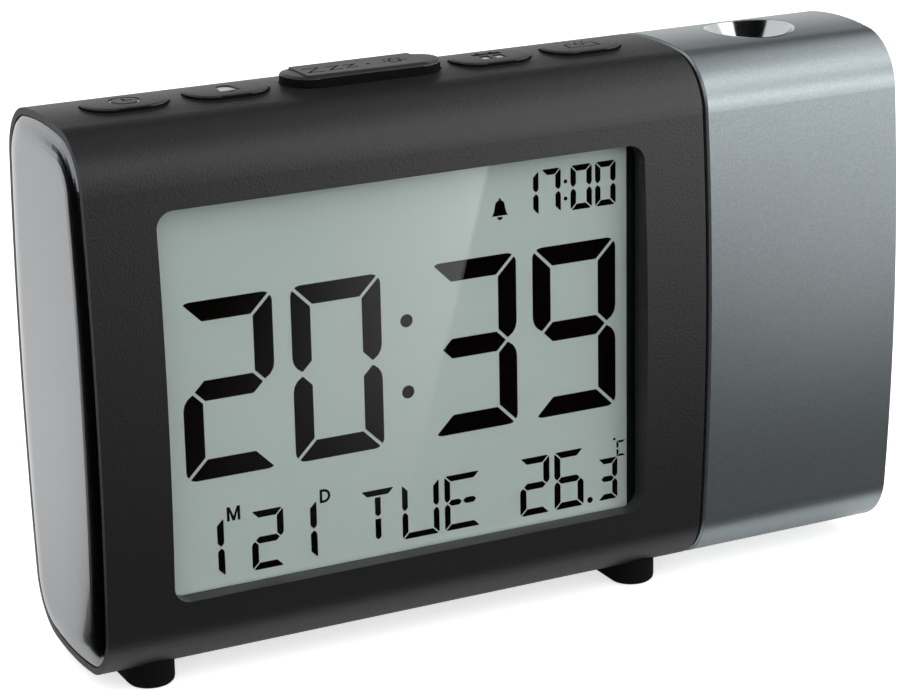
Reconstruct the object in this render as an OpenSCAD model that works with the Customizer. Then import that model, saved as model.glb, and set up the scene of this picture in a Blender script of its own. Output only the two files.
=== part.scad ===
// Projection alarm clock: a crowned sleeve with a recessed display, and a projector
// head of the same section that swivels on a hollow spindle at its right end.
// The origin is on the table under the middle, +X to the head, -Y to the display.

/* [Sleeve] */
// Length of the sleeve
body_l = 103.3; // [103:0.1:130]
// Height of the crowned section
body_h = 86.4; // [86:0.1:100]
// Depth of the crowned section
body_d = 35.5; // [35:0.1:42]
// Radius of the crowned front and back
face_r = 386; // [300:1:600]
// Radius of the crowned top and bottom
crown_r = 58.4; // [54:0.1:75]
// Radius of the four long corners
corner_r = 9.3; // [8:0.1:10.5]
// Wall of the sleeve and of the head
wall = 2.2; // [2:0.1:2.4]
// Lip left round an end cap
rim_t = 1.1; // [0.9:0.1:1.3]
// Depth of the seat for an end cap
cap_seat = 2.6; // [2.2:0.1:3.2]
// Rise of the pillowed end cap over its edge
cap_rise = 1; // [0.6:0.1:1.4]

/* [Display] */
// Ends of the sleeve to the window
window_side = 10.8; // [10.7:0.1:13.6]
// Top and bottom of the sleeve to the window
window_rise = 12.65; // [12.25:0.05:18]
// Corner radius of the window
window_r = 2.7; // [1.5:0.1:4]
// Depth from the crown of the front to the clear lens
window_depth = 4.15; // [3.6:0.05:4.4]
// Thickness of the clear lens
lens_t = 1; // [0.8:0.1:1.2]
// Thickness of the liquid crystal panel
lcd_t = 2.2; // [1.8:0.1:2.4]
// Thickness of the light guide behind the panel
guide_t = 2; // [1.6:0.1:2.2]
// Thickness of the circuit boards
board_t = 1.6; // [1.2:0.1:1.8]

/* [Buttons] */
// Length of a small button
button_l = 13.6; // [11:0.1:14.4]
// Width of a small button
button_w = 8.5; // [7:0.1:9]
// Height of a small button over the crown
button_rise = 0.85; // [0.6:0.05:1.2]
// Middle of the window to the inner small buttons
inner_pitch = 22.4; // [22:0.1:23]
// Middle of the window to the outer small buttons
outer_pitch = 38.65; // [38:0.05:39.5]
// Length of the snooze button
snooze_l = 26.5; // [24:0.1:27]
// Width of the snooze button
snooze_w = 9; // [8:0.1:9.4]
// Height of the snooze button over the crown
snooze_rise = 1.6; // [1:0.1:2.5]
// Height of the panel on the snooze button
panel_rise = 0.6; // [0.3:0.1:1]
// Travel of every button
travel = 0.6; // [0.4:0.05:0.65]

/* [Swivel] */
// Gap between the sleeve and the head
head_gap = 0.8; // [0.6:0.05:1.2]
// Radius of the hollow spindle
spindle_r = 7; // [6:0.1:7.4]
// Radius of the cable way through the spindle
cable_way_r = 4.5; // [3.5:0.1:5]
// Half of the swing of the head, in degrees
swing = 90; // [45:1:90]
// Distance of the stop pin from the swivel axis
stop_r = 13.5; // [13.2:0.1:15]
// Running clearance on the radius
run_fit = 0.06; // [0.03:0.01:0.1]

/* [Head] */
// Length of the head
head_l = 35.9; // [34.6:0.1:44]
// Radius of the funnel mouth
funnel_r = 7.5; // [6.5:0.1:7.6]
// Radius of the opening at the foot of the funnel
throat_r = 4.3; // [3.6:0.1:4.5]
// Depth of the funnel
funnel_depth = 4.4; // [3.8:0.1:4.6]
// Radius of the lens barrel
barrel_r = 5; // [4.7:0.1:5.1]
// Length of the lens barrel
barrel_l = 14; // [12:0.1:15]
// Radius of the focus wheel
wheel_r = 7.4; // [6.8:0.1:7.5]
// Width of the focus wheel
wheel_w = 3; // [2:0.1:3.2]
// Teeth of the focus pinion
pinion_teeth = 8; // [8:1:8]
// Tooth module of the focus rack and pinion
gear_module = 0.6; // [0.55:0.05:0.6]
// Travel of the lens barrel to each side of its middle
focus_travel = 1.2; // [0.6:0.1:1.3]

/* [Back and base] */
// Ends of the sleeve to the back cover
cover_side = 6.65; // [6.4:0.05:7.6]
// Top and bottom of the sleeve to the back cover
cover_rise = 10.2; // [9.7:0.1:11.2]
// Length of a battery cell
cell_l = 44.5; // [44:0.1:44.8]
// Radius of a battery cell
cell_r = 5.25; // [4.9:0.05:5.3]
// Left of the middle of the sleeve to the middle of the battery bay
bay_shift = 8; // [6:0.1:9]
// Height of the feet under the sleeve
foot_h = 2.2; // [2:0.1:6]
// Width of a foot
foot_w = 7.7; // [6:0.1:9]
// Length of a foot, front to back
foot_l = 25.6; // [20:0.1:27]
// Middle of the window to the middle of a foot
foot_pitch = 42.7; // [38:0.1:43]

/* [Hidden] */

fit = 0.08;                 // fixed clearance between moulded pieces
gap = 0.15;                 // gap round the cover, the door and the buttons
blend = 0.003;              // overlap that joins the corner arcs to the crowned ones
total_l = body_l + head_gap + head_l;
left_x = -total_l / 2;
right_x = total_l / 2;
body_x = left_x + body_l;
head_x = body_x + head_gap;
mid_x = left_x + body_l / 2;
axis_z = foot_h + body_h / 2;
head_mid_x = head_x + head_l / 2;

// Centres of the eight tangent arcs of the section
face_c = face_r - body_d / 2;
crown_c = crown_r - body_h / 2;
centre_d = norm([face_c, crown_c]);
face_leg = face_r - corner_r;
crown_leg = crown_r - corner_r;
along_d = (face_leg * face_leg - crown_leg * crown_leg + centre_d * centre_d) / (2 * centre_d);
across_d = sqrt(face_leg * face_leg - along_d * along_d);
corner_y = (along_d * face_c + across_d * crown_c) / centre_d - face_c;
corner_z = (across_d * face_c - along_d * crown_c) / centre_d;
face_a = atan2(corner_z, corner_y + face_c);
crown_a = atan2(corner_z + crown_c, corner_y);

// The crowned surfaces at a height or a depth, measured from the axis
function face_y(z, inset = 0) = sqrt(pow(face_r - inset, 2) - z * z) - face_c;
function crown_z(y, inset = 0) = sqrt(pow(crown_r - inset, 2) - y * y) - crown_c;

// Display stack, from the lens to the main board
face_gap = 0.1;             // space between the stacked pieces
film_gap = 0.8;             // room for the diffuser films behind the light guide
window_w = body_l - 2 * window_side;
window_h = body_h - 2 * window_rise;
window_wall = 1.6;          // wall round the window, down to the lens
lens_lap = 3.3;             // what the lens reaches behind the edge of the window
lcd_side = 2.2;             // what the panel reaches behind it at the sides
lcd_rise = 2.4;             // and at the top and the bottom
guide_side = 0.6;
guide_rise = 0.75;
frame_side = 1.8;
frame_rise = 2.1;
lens_y = window_depth - body_d / 2;
lcd_y = lens_y + lens_t + face_gap;
guide_y = lcd_y + lcd_t + face_gap;
board_y = guide_y + guide_t + film_gap;
board_back_y = board_y + board_t;
lens_w = window_w + 2 * lens_lap;
lens_h = window_h + 2 * lens_lap;
lcd_w = window_w + 2 * lcd_side;
lcd_h = window_h + 2 * lcd_rise;
guide_w = window_w - 2 * guide_side;
guide_h = window_h - 2 * guide_rise;
frame_w = lcd_w + 2 * frame_side;
frame_h = lcd_h + 2 * frame_rise;
strip_side = 2.85;          // what the strips stop short of the window
strip_l = window_w - 2 * strip_side;
strip_w = 2.2;
strip_z = lcd_h / 2 - strip_w / 2 - 0.2;
led_z = 13;
led_w = 3;
led_t = 1.8;
board_side = 1.15;
board_room = 1.6;
board_w = window_w + 2 * board_side;
board_h = body_h - 2 * (wall + board_room);
board_x = mid_x - 2;
chip_w = 12;
chip_t = 1.4;
chip_shift = 14;
chip_x = mid_x - chip_shift;
chip_z = chip_shift;
crystal_x = chip_x + chip_w - 1;
crystal_r = 1.5;
crystal_l = 3;
post_r = 2.1;
post_x = 30;
post_z = frame_h / 2 + post_r + 0.5;

// Screws: a self-tapping thread of 2 mm in pilot holes
screw_r = 1;
head_r = 1.9;
head_fit = 0.05;
pan_h = 1.2;
cross_r = 1.1;
cross_w = 0.5;
cross_d = 0.6;
grip = 4.2;                 // what a board screw bites
pilot_r = 1.05;
pilot_l = grip + 0.3;
case_screw_l = 8;
hub_screw_l = 7;

// Key board and switches under the top
crown_in = body_h / 2 - wall;
key_room = 7;
key_top = crown_in - key_room;
switch_h = 3.6;
switch_w = 6;
stem_r = 1.6;
stem_gap = travel + 0.3;
stem_seat = 0.7;            // what the stem stands in the switch
snooze_stem = 7;
flange_t = 1;
flange_w = 0.8;
key_post_y = 7.9;
key_post_x = 30.5;
key_board_l = 2 * outer_pitch + switch_w + 1;
panel_left = 10.7;
panel_right = 9.4;
panel_edge = 0.3;

// Pillow of the end caps
cap_border = 4.4;
cap_steps = 7;
cap_edge = 0.3;             // what the cap's edge lies inside the lip
skirt_l = 1.9;
skirt_t = 1.4;
sheet = 0.02;               // thickness of a layer that a hull joins

// Back cover, battery bay and door
cover_w = body_l - 2 * cover_side;
cover_h = body_h - 2 * cover_rise;
cover_r = 4;
cover_t = 1.4;
back_y = 5;                 // where the cuts through the back start
ledge = 3;
ledge_t = 1.4;
ledge_out = 1;
opening_r = 9;
lining_r = 13;
lining_gap = 0.5;
rib_t = 1;
cover_post_r = 2.5;
cover_post_l = 9.6;
screw_inset = 4.6;
screw_sink = 0.5;
screw_x = cover_w / 2 - screw_inset;
screw_z = cover_h / 2 - screw_inset;
cell_gap = 0.4;
cell_pitch = 2 * cell_r + 0.9;
bay_wall = 1.5;
contact_t = 0.4;
spring_h = 4.5;
bay_l = cell_l + spring_h + 2 * contact_t + 0.2;
bay_h = cell_pitch + 2 * cell_r + 2 * cell_gap;
cell_depth = 1.2;           // room between the cells and the door
cradle_h = 3;
contact_w = 8;
door_t = 1.4;
door_lap = 2;
door_edge = 5.65;           // what the cover leaves under the door
door_r = 1.5;
door_fit = 0.25;
door_rib = 0.7;
door_w = bay_l + 2 * door_lap;
door_h = bay_h + 2 * door_lap;
bay_x = mid_x - bay_shift;
bay_z = -cover_h / 2 + door_edge + door_h / 2;
cell_y = face_y(bay_z - door_h / 2) - door_t - cell_depth - cell_r;
bay_floor_y = cell_y - cell_r - cell_gap;
grip_l = 12;
grip_r = 2;
grip_d = 0.8;
grip_z = bay_z + bay_h / 2 - grip_r;
sounder_in = 15;
sounder_drop = 19;
sounder_x = mid_x - cover_w / 2 + sounder_in;
sounder_z = cover_h / 2 - sounder_drop;
sounder_r = 6.5;
sounder_h = 5.5;
sounder_y = face_y(sounder_z + sounder_r, wall) - 0.6 - sounder_h;
sound_ring_r = 3.2;
sound_hole_r = 0.7;
sensor_in = 19;
sensor_x = mid_x + cover_w / 2 - sensor_in;
sensor_z = sounder_z;
sensor_y = 11;
bead_r = 1.3;
vent_n = 5;
vent_pitch = 3;
vent_l = 12;
vent_w = 1.2;
socket_in = 14.5;
socket_up = 13;
socket_x = mid_x + cover_w / 2 - socket_in;
socket_z = -cover_h / 2 + socket_up;
socket_w = 9;
pocket_t = 1.5;
pocket_l = 4;
plug_gap = 0.6;
socket_r = 3;
socket_pin_r = 1;
socket_y = face_y(socket_z - socket_w / 2, wall) - 0.3;
socket_l = 9.6;
socket_end = 1.2;
socket_board_y = socket_y - socket_l - board_t;
socket_board_w = 17;
socket_board_h = 15;
lead_r = 0.6;

// Swivel bearing
plate_t = 3;
hub_t = 2.5;
boss_r = 2.6;
boss_l = 5.4;
boss_out = (corner_r - wall - boss_r + 0.4) / sqrt(2);
boss_y = corner_y + boss_out;
boss_z = corner_z + boss_out;
front_boss_y = 7.6;
front_boss_z = crown_z(front_boss_y, wall) - boss_r + 0.4;
washer_r = stop_r - 2;
pin_r = 1.5;
pin_fit = 0.2;
groove_d = 2;
ring_t = 1;
ring_r = spindle_r + 2.5;
groove_r = spindle_r - 0.6;
spring_t = 0.9;
spring_w = 4.2;
spring_sheet = 0.3;
way_fit = 0.3;              // round the spindle inside the two washers
plate_x = body_x - plate_t;
ring_x = plate_x - spring_t - 0.1 - ring_t;
spindle_x = ring_x - 1.6;
header_l = 8;
header_w = 8;
header_y = 2.6;
header_reach = 14.5;
header_x = spindle_x - header_reach;
swivel_lead_r = 0.65;

// Optical train in the head, heights from the swivel axis
lamp_r = 6.4;
bore_fit = 0.08;
funnel_flange = 2;
funnel_edge = 0.3;
dome_r = 9;
funnel_low = body_h / 2 - funnel_depth;
barrel_top = funnel_low - focus_travel - 1;
barrel_low = barrel_top - barrel_l;
barrel_wall = 1.4;
lens_seat = 2;
slide_z = 2;
slide_w = 7;
slide_t = 1.8;
lamp_low = -14.4;
lamp_drop = 4.6;            // top of the housing under the top of the barrel
lamp_top = barrel_top - lamp_drop;
seat_r = 4;
pitch_r = pinion_teeth * gear_module / 2;
wheel_drop = 9.1;
wheel_out = 0.6;            // what the wheel stands out of the back
wheel_z = barrel_top - wheel_drop;
wheel_y = face_y(wheel_z) - wheel_r + wheel_out;
rack_y = wheel_y - pitch_r;
rack_w = 3;
rack_gap = 0.2;
rack_l = 10;
tooth_up = 0.75 * gear_module;
tooth_down = 0.95 * gear_module;
ear_t = 2.5;
ear_h = 6;
ear_out = 2.6;
pin_hole_r = 0.8;
wheel_hub_r = 1.8;
left_ear_x = head_mid_x - rack_w / 2 - 0.5 - ear_t;
right_ear_x = head_mid_x + rack_w / 2 + 0.6;
wheel_x = head_mid_x + lamp_r + 0.25;
wheel_gap = 0.4;
cheek_y = 5;
cheek_t = 2.2;
cheek_low = -12;
cheek_drop = 6;
cheek_high = lamp_top - cheek_drop;
cheek_low_screw = 4;
cheek_high_screw = 5;
cheek_screws = [cheek_low + cheek_low_screw, cheek_high - cheek_high_screw];
lamp_board_w = 14;
head_board_t = 1.2;
head_board_x = head_x + hub_t + 1.6;
head_board_low = -26;
head_board_high = 8;

// Section of the sleeve and the head, moved in by inset: eight tangent arcs.
module section(inset = 0) {
    rf = face_r - inset;
    rt = crown_r - inset;
    rc = corner_r - inset;
    meet_face = [rf * cos(face_a) - face_c, rf * sin(face_a)];
    meet_crown = [rt * cos(crown_a), rt * sin(crown_a) - crown_c];
    slope = (meet_crown[1] - meet_face[1]) / (meet_crown[0] - meet_face[0]);
    tip_z = meet_face[1] - slope * meet_face[0];
    tip_y = -tip_z / slope;
    union() {
        intersection() {
            translate([-face_c, 0]) circle(r = rf, $fn = 360);
            translate([face_c, 0]) circle(r = rf, $fn = 360);
            translate([0, -crown_c]) circle(r = rt, $fn = 120);
            translate([0, crown_c]) circle(r = rt, $fn = 120);
            polygon([[tip_y, 0], [0, tip_z], [-tip_y, 0], [0, -tip_z]]);
        }
        for (sy = [-1, 1], sz = [-1, 1])
            translate([sy * corner_y, sz * corner_z]) circle(r = rc + blend, $fn = 72);
    }
}

// Stretch of the section from x0 to x1
module bar(x0, x1, inset = 0) {
    translate([x0, 0, axis_z]) rotate([90, 0, 90]) linear_extrude(x1 - x0) section(inset);
}

// Shell between two insets of the section
module skin(x0, x1, outer, inner) {
    difference() {
        bar(x0, x1, outer);
        bar(x0 - 1, x1 + 1, inner);
    }
}

module rounded(w, h, r) {
    square([w - 2 * r, h], center = true);
    square([w, h - 2 * r], center = true);
    for (sx = [-1, 1], sy = [-1, 1])
        translate([sx * (w / 2 - r), sy * (h / 2 - r)]) circle(r = r, $fn = 48);
}

// Upright rounded slab, its middle at x, z, from y0 to y1
module slab(x, z, w, h, r, y0, y1) {
    translate([x, y1, axis_z + z]) rotate([90, 0, 0]) linear_extrude(y1 - y0) rounded(w, h, r);
}

// Rectangular block between two corners, heights from the swivel axis
module block(low, high) {
    translate([low[0], low[1], axis_z + low[2]]) cube(high - low);
}

// Round bars along each axis
module rod_x(x0, x1, y, z, r, fn = 48) {
    translate([x0, y, axis_z + z]) rotate([0, 90, 0]) cylinder(r = r, h = x1 - x0, $fn = fn);
}

module rod_y(x, y0, y1, z, r, fn = 48) {
    translate([x, y1, axis_z + z]) rotate([90, 0, 0]) cylinder(r = r, h = y1 - y0, $fn = fn);
}

module rod_z(x, y, z0, z1, r, fn = 48) {
    translate([x, y, axis_z + z0]) cylinder(r = r, h = z1 - z0, $fn = fn);
}

// Upright pill: two half rounds joined by a straight stretch along X
module pill(x, l, w, z0, z1) {
    translate([x, 0, axis_z + z0]) linear_extrude(z1 - z0) {
        square([l - w, w], center = true);
        for (s = [-1, 1]) translate([s * (l - w) / 2, 0]) circle(r = w / 2, $fn = 64);
    }
}

// Pill of a foot, its long way front to back
module foot_pill(x, w, l, z0, z1) {
    translate([x, 0, z0]) linear_extrude(z1 - z0) {
        square([w, l - w], center = true);
        for (s = [-1, 1]) translate([0, s * (l - w) / 2]) circle(r = w / 2, $fn = 64);
    }
}

// Cross recess in the head of a screw
module cross_recess() {
    for (a = [0, 90])
        rotate(a) cube([2 * cross_r, cross_w, 2 * cross_d], center = true);
}

// Countersunk screw, its head's face at the origin
module screw(l) {
    difference() {
        union() {
            cylinder(r1 = head_r, r2 = screw_r, h = head_r - screw_r, $fn = 32);
            cylinder(r = screw_r, h = l, $fn = 32);
        }
        cross_recess();
    }
}

// Pan head screw of a board, the board's face at the origin
module pan_screw() {
    difference() {
        union() {
            cylinder(r = screw_r, h = board_t + grip, $fn = 32);
            translate([0, 0, -pan_h]) cylinder(r = head_r, h = pan_h, $fn = 32);
        }
        translate([0, 0, -pan_h]) cross_recess();
    }
}

module screw_hole(l) {
    translate([0, 0, -1]) cylinder(r = head_r + head_fit, h = 1, $fn = 32);
    cylinder(r1 = head_r + head_fit, r2 = pilot_r, h = head_r - screw_r, $fn = 32);
    cylinder(r = pilot_r, h = l, $fn = 32);
}

// Places of the repeated pieces
module at_body_bosses() {
    for (s = [-1, 1]) {
        translate([0, boss_y, axis_z + s * boss_z]) children();
        translate([0, -front_boss_y, axis_z + s * front_boss_z]) children();
    }
}

module at_head_bosses() {
    for (sy = [-1, 1], sz = [-1, 1])
        translate([0, sy * boss_y, axis_z + sz * boss_z]) children();
}

module at_cover_screws() {
    for (sx = [-1, 1], sz = [-1, 1])
        translate([mid_x + sx * screw_x, 0, axis_z + sz * screw_z]) children();
}

module at_board_posts() {
    for (sx = [-1, 1], sz = [-1, 1])
        translate([mid_x + sx * post_x, 0, axis_z + sz * post_z]) children();
}

module at_key_posts() {
    for (s = [-1, 0, 1]) translate([mid_x + s * key_post_x, key_post_y, axis_z]) children();
}

// Screws of the cheeks of the lamp housing
module at_cheek_screws() {
    for (sy = [-1, 1], z = cheek_screws)
        translate([0, sy * (cheek_y + cheek_t / 2), axis_z + z]) children();
}

module button_hole(x, l, w) {
    pill(x, l + 2 * gap, w + 2 * gap, crown_in - 3, body_h / 2 + 2);
}

// The dark sleeve: front, top, bottom and back in one moulding, open at both ends
module sleeve() {
    color("#2b2b2d")
    difference() {
        union() {
            difference() {
                skin(left_x, body_x, 0, wall);
                slab(mid_x, 0, cover_w - 2 * ledge, cover_h - 2 * ledge, opening_r, back_y, body_d);
            }
            intersection() {
                slab(mid_x, 0, window_w + 2 * window_wall, window_h + 2 * window_wall,
                    window_r + window_wall, -body_d, lens_y);
                bar(left_x, body_x, wall / 2);
            }
            intersection() {
                skin(left_x, body_x, cover_t, wall + ledge_t);
                difference() {
                    slab(mid_x, 0, cover_w + 2 * ledge_out, cover_h + 2 * ledge_out, cover_r,
                        back_y, body_d);
                    slab(mid_x, 0, cover_w - 2 * ledge, cover_h - 2 * ledge, opening_r,
                        back_y - 1, body_d + 1);
                }
            }
            intersection() {
                bar(left_x, body_x, wall / 2);
                union() {
                    translate([plate_x - boss_l, 0, 0]) at_body_bosses() rotate([0, 90, 0])
                        cylinder(r = boss_r, h = boss_l, $fn = 48);
                    at_board_posts() translate([0, board_y, 0]) rotate([90, 0, 0])
                        cylinder(r = post_r, h = board_y + body_d / 2, $fn = 48);
                    at_key_posts() translate([0, 0, key_top])
                        cylinder(r = post_r, h = body_h / 2 - key_top, $fn = 48);
                }
            }
            intersection() {
                bar(left_x, body_x, cover_t);
                at_cover_screws() translate([0, body_d / 2, 0]) rotate([90, 0, 0])
                    cylinder(r = cover_post_r, h = cover_post_l, $fn = 48);
            }
        }
        bar(left_x - 1, left_x + cap_seat, rim_t);
        slab(mid_x, 0, window_w, window_h, window_r, -body_d, lens_y + 1);
        difference() {
            slab(mid_x, 0, cover_w, cover_h, cover_r, back_y, body_d);
            bar(left_x, body_x, cover_t);
        }
        button_hole(mid_x, snooze_l, snooze_w);
        for (s = [-1, 1]) {
            button_hole(mid_x + s * inner_pitch, button_l, button_w);
            button_hole(mid_x + s * outer_pitch, button_l, button_w);
            difference() {
                foot_pill(mid_x + s * foot_pitch, foot_w, foot_l, -1, foot_h + wall + 3);
                bar(left_x, body_x, wall / 2);
            }
        }
        translate([plate_x - boss_l - 1, 0, 0]) at_body_bosses() rotate([0, 90, 0])
            cylinder(r = pilot_r, h = boss_l + 2, $fn = 32);
        at_board_posts() translate([0, board_y + 1, 0]) rotate([90, 0, 0])
            cylinder(r = pilot_r, h = pilot_l + 1, $fn = 32);
        at_key_posts() translate([0, 0, key_top - 1])
            cylinder(r = pilot_r, h = pilot_l + 1, $fn = 32);
        at_cover_screws() translate([0, body_d, 0]) rotate([90, 0, 0])
            cylinder(r = pilot_r, h = body_d, $fn = 32);
    }
}

// End cap drawn at x = 0 with its face to -X: flange, plug skirt and pillowed face
module end_cap() {
    translate([cap_edge, 0, 0]) {
        hull() {
            for (i = [0:cap_steps])
                translate([-cap_rise * sin(90 * i / cap_steps), 0, axis_z]) rotate([90, 0, 90])
                    linear_extrude(sheet)
                        section(rim_t + fit + cap_border * (1 - cos(90 * i / cap_steps)));
        }
        bar(0, cap_seat - cap_edge, rim_t + fit);
        skin(cap_seat - cap_edge, cap_seat + skirt_l, wall + fit, wall + fit + skirt_t);
    }
}

module left_end_cap() {
    color("#9a9da1") translate([left_x, 0, 0]) end_cap();
}

module right_end_cap() {
    color("#9a9da1") translate([right_x, 0, 0]) mirror([1, 0, 0]) end_cap();
}

// Display
module window_lens() {
    color("#cfd8d6", 0.4) slab(mid_x, 0, lens_w, lens_h, 1.5, lens_y, lens_y + lens_t);
}

module lcd_panel() {
    color("#a3aeaa") slab(mid_x, 0, lcd_w, lcd_h, 0.5, lcd_y, lcd_y + lcd_t);
}

module light_guide() {
    color("#e6ece8") slab(mid_x, 0, guide_w, guide_h, 0.8, guide_y, guide_y + guide_t);
}

module lcd_frame() {
    color("#1a1a1a")
    difference() {
        slab(mid_x, 0, frame_w, frame_h, 2, lcd_y - face_gap, board_y);
        slab(mid_x, 0, lcd_w + 2 * face_gap, lcd_h + 2 * face_gap, 0.6, lcd_y - 1, board_y + 1);
    }
}

module backlight_leds() {
    color("#f2efe4")
    for (s = [-1, 1])
        block([mid_x - guide_w / 2 - face_gap - led_t, guide_y, s * led_z - led_w / 2],
            [mid_x - guide_w / 2 - face_gap, board_y, s * led_z + led_w / 2]);
}

module contact_strips() {
    color("#8a5a6a")
    for (s = [-1, 1])
        block([mid_x - strip_l / 2, lcd_y + lcd_t, s * strip_z - strip_w / 2],
            [mid_x + strip_l / 2, board_y, s * strip_z + strip_w / 2]);
}

// Boards
module main_board() {
    color("#2f6b3f")
    difference() {
        slab(board_x, 0, board_w, board_h, 1.5, board_y, board_back_y);
        at_board_posts() translate([0, board_back_y + 1, 0]) rotate([90, 0, 0])
            cylinder(r = pilot_r + 0.1, h = board_t + 2, $fn = 32);
    }
}

module controller_chip() {
    color("#1d1d1f") {
        block([chip_x - chip_w / 2, board_back_y, chip_z - chip_w / 2],
            [chip_x + chip_w / 2, board_back_y + chip_t, chip_z + chip_w / 2]);
        rod_y(crystal_x, board_back_y, board_back_y + crystal_l, chip_z, crystal_r, 32);
    }
}

module key_board() {
    color("#2f6b3f")
    difference() {
        block([mid_x - key_board_l / 2, board_back_y, key_top - board_t],
            [mid_x + key_board_l / 2, key_post_y + post_r + 0.3, key_top]);
        at_key_posts() translate([0, 0, key_top - board_t - 1])
            cylinder(r = pilot_r + 0.1, h = board_t + 2, $fn = 32);
    }
}

// One switch: its body takes the end of the key's stem
module key_switch(x) {
    difference() {
        block([x - switch_w / 2, -switch_w / 2, key_top],
            [x + switch_w / 2, switch_w / 2, key_top + switch_h]);
        rod_z(x, 0, key_top + switch_h - stem_seat - stem_gap, key_top + switch_h + 1, stem_r + 0.1);
    }
}

module key_switches() {
    color("#3a3a3c") {
        for (s = [-1, 1]) {
            key_switch(mid_x + s * inner_pitch);
            key_switch(mid_x + s * outer_pitch);
            key_switch(mid_x + s * snooze_stem);
        }
    }
}

// Pan head screws of the two boards
module board_screws() {
    color("#b8b8ba") {
        at_board_posts() translate([0, board_back_y, 0]) rotate([90, 0, 0]) pan_screw();
        at_key_posts() translate([0, 0, key_top - board_t]) pan_screw();
    }
}

// Countersunk screws of the bulkhead and of the back cover
module case_screws() {
    color("#4a4a4c") {
        translate([body_x, 0, 0]) at_body_bosses() rotate([0, -90, 0]) screw(case_screw_l);
        at_cover_screws() translate([0, face_y(screw_z) - screw_sink, 0]) rotate([90, 0, 0])
            screw(case_screw_l);
    }
}

// Buttons: a crowned cap, a flange that keeps it in, and a stem to each switch
module button(x, l, w, rise, stems) {
    flange_z = crown_z(w / 2 + flange_w, wall) - 0.3;
    intersection() {
        pill(x, l, w, flange_z - flange_t, body_h / 2 + rise + 1);
        bar(left_x, body_x, -rise);
    }
    pill(x, l + 2 * flange_w, w + 2 * flange_w, flange_z - flange_t, flange_z);
    for (s = stems)
        rod_z(x + s, 0, key_top + switch_h - stem_seat, flange_z - flange_t / 2, stem_r);
}

module time_button() {
    color("#303032") button(mid_x - outer_pitch, button_l, button_w, button_rise, [0]);
}

module alarm_button() {
    color("#303032") button(mid_x - inner_pitch, button_l, button_w, button_rise, [0]);
}

module date_button() {
    color("#303032") button(mid_x + inner_pitch, button_l, button_w, button_rise, [0]);
}

module projector_button() {
    color("#303032") button(mid_x + outer_pitch, button_l, button_w, button_rise, [0]);
}

module snooze_button() {
    color("#262628") {
        button(mid_x, snooze_l, snooze_w, snooze_rise, [-snooze_stem, snooze_stem]);
        intersection() {
            skin(left_x, body_x, -snooze_rise - panel_rise, -snooze_rise + 0.5);
            block([mid_x - panel_left, panel_edge - snooze_w / 2, 0],
                [mid_x + panel_right, snooze_w / 2 - panel_edge, body_h]);
        }
    }
}

// Back cover with the battery bay, the sounder ring and the socket's pocket
module back_cover() {
    color("#242426")
    difference() {
        union() {
            intersection() {
                slab(mid_x, 0, cover_w - 2 * gap, cover_h - 2 * gap, cover_r - gap, back_y, body_d);
                skin(left_x, body_x, 0, cover_t - 0.02);
            }
            intersection() {
                slab(mid_x, 0, cover_w - 2 * (ledge + lining_gap), cover_h - 2 * (ledge + lining_gap),
                    lining_r, back_y, body_d);
                skin(left_x, body_x, cover_t / 2, wall);
            }
            intersection() {
                slab(bay_x, bay_z, bay_l + 2 * bay_wall, bay_h + 2 * bay_wall, 1.5,
                    bay_floor_y - bay_wall, body_d);
                bar(left_x, body_x, cover_t / 2);
            }
            intersection() {
                rod_y(sounder_x, sounder_y + 1.5, body_d, sounder_z, sounder_r + 1.2);
                bar(left_x, body_x, cover_t / 2);
            }
            intersection() {
                slab(socket_x, socket_z, socket_w + 2 * pocket_t, socket_w + 2 * pocket_t, 1,
                    socket_y - pocket_l, body_d);
                bar(left_x, body_x, cover_t / 2);
            }
        }
        difference() {
            slab(bay_x, bay_z, bay_l, bay_h, 0.5, bay_floor_y, body_d);
            block([bay_x - bay_l / 2 + 2 * rib_t, bay_floor_y - bay_wall, bay_z - rib_t / 2],
                [bay_x + bay_l / 2 - 2 * rib_t, bay_floor_y + cradle_h, bay_z + rib_t / 2]);
        }
        difference() {
            slab(bay_x, bay_z, door_w, door_h, door_r, back_y, body_d);
            bar(left_x, body_x, door_t);
        }
        rod_y(sounder_x, 0, sounder_y + sounder_h + 0.1, sounder_z, sounder_r + 0.1);
        for (a = [0:60:300])
            rod_y(sounder_x + sound_ring_r * cos(a), back_y, body_d,
                sounder_z + sound_ring_r * sin(a), sound_hole_r, 24);
        rod_y(sounder_x, back_y, body_d, sounder_z, sound_hole_r, 24);
        slab(socket_x, socket_z, socket_w + 0.2, socket_w + 0.2, 0.5, 0, socket_y);
        rod_y(socket_x, back_y, body_d, socket_z, socket_r + plug_gap);
        for (i = [0:vent_n - 1])
            slab(sensor_x, sensor_z + (i - (vent_n - 1) / 2) * vent_pitch, vent_l, vent_w, 0.5,
                back_y, body_d);
        at_cover_screws() translate([0, face_y(screw_z) - screw_sink, 0]) rotate([90, 0, 0])
            screw_hole(case_screw_l);
    }
}

// Door: a flush piece of the crowned back with locating ribs and a finger groove
module battery_door() {
    ring_l = bay_l - 2 * door_fit;
    ring_h = bay_h - 2 * door_fit;
    color("#242426")
    difference() {
        union() {
            intersection() {
                slab(bay_x, bay_z, door_w - 2 * gap, door_h - 2 * gap, door_r - gap, back_y, body_d);
                skin(left_x, body_x, 0, door_t - 0.02);
            }
            intersection() {
                difference() {
                    slab(bay_x, bay_z, ring_l, ring_h, 0.4, back_y, body_d);
                    slab(bay_x, bay_z, ring_l - 2 * rib_t, ring_h - 2 * rib_t, 0.4,
                        back_y - 1, body_d + 1);
                }
                skin(left_x, body_x, door_t / 2, door_t + door_rib);
            }
        }
        rod_x(bay_x - grip_l / 2, bay_x + grip_l / 2, face_y(grip_z) + grip_r - grip_d, grip_z, grip_r);
    }
}

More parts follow.
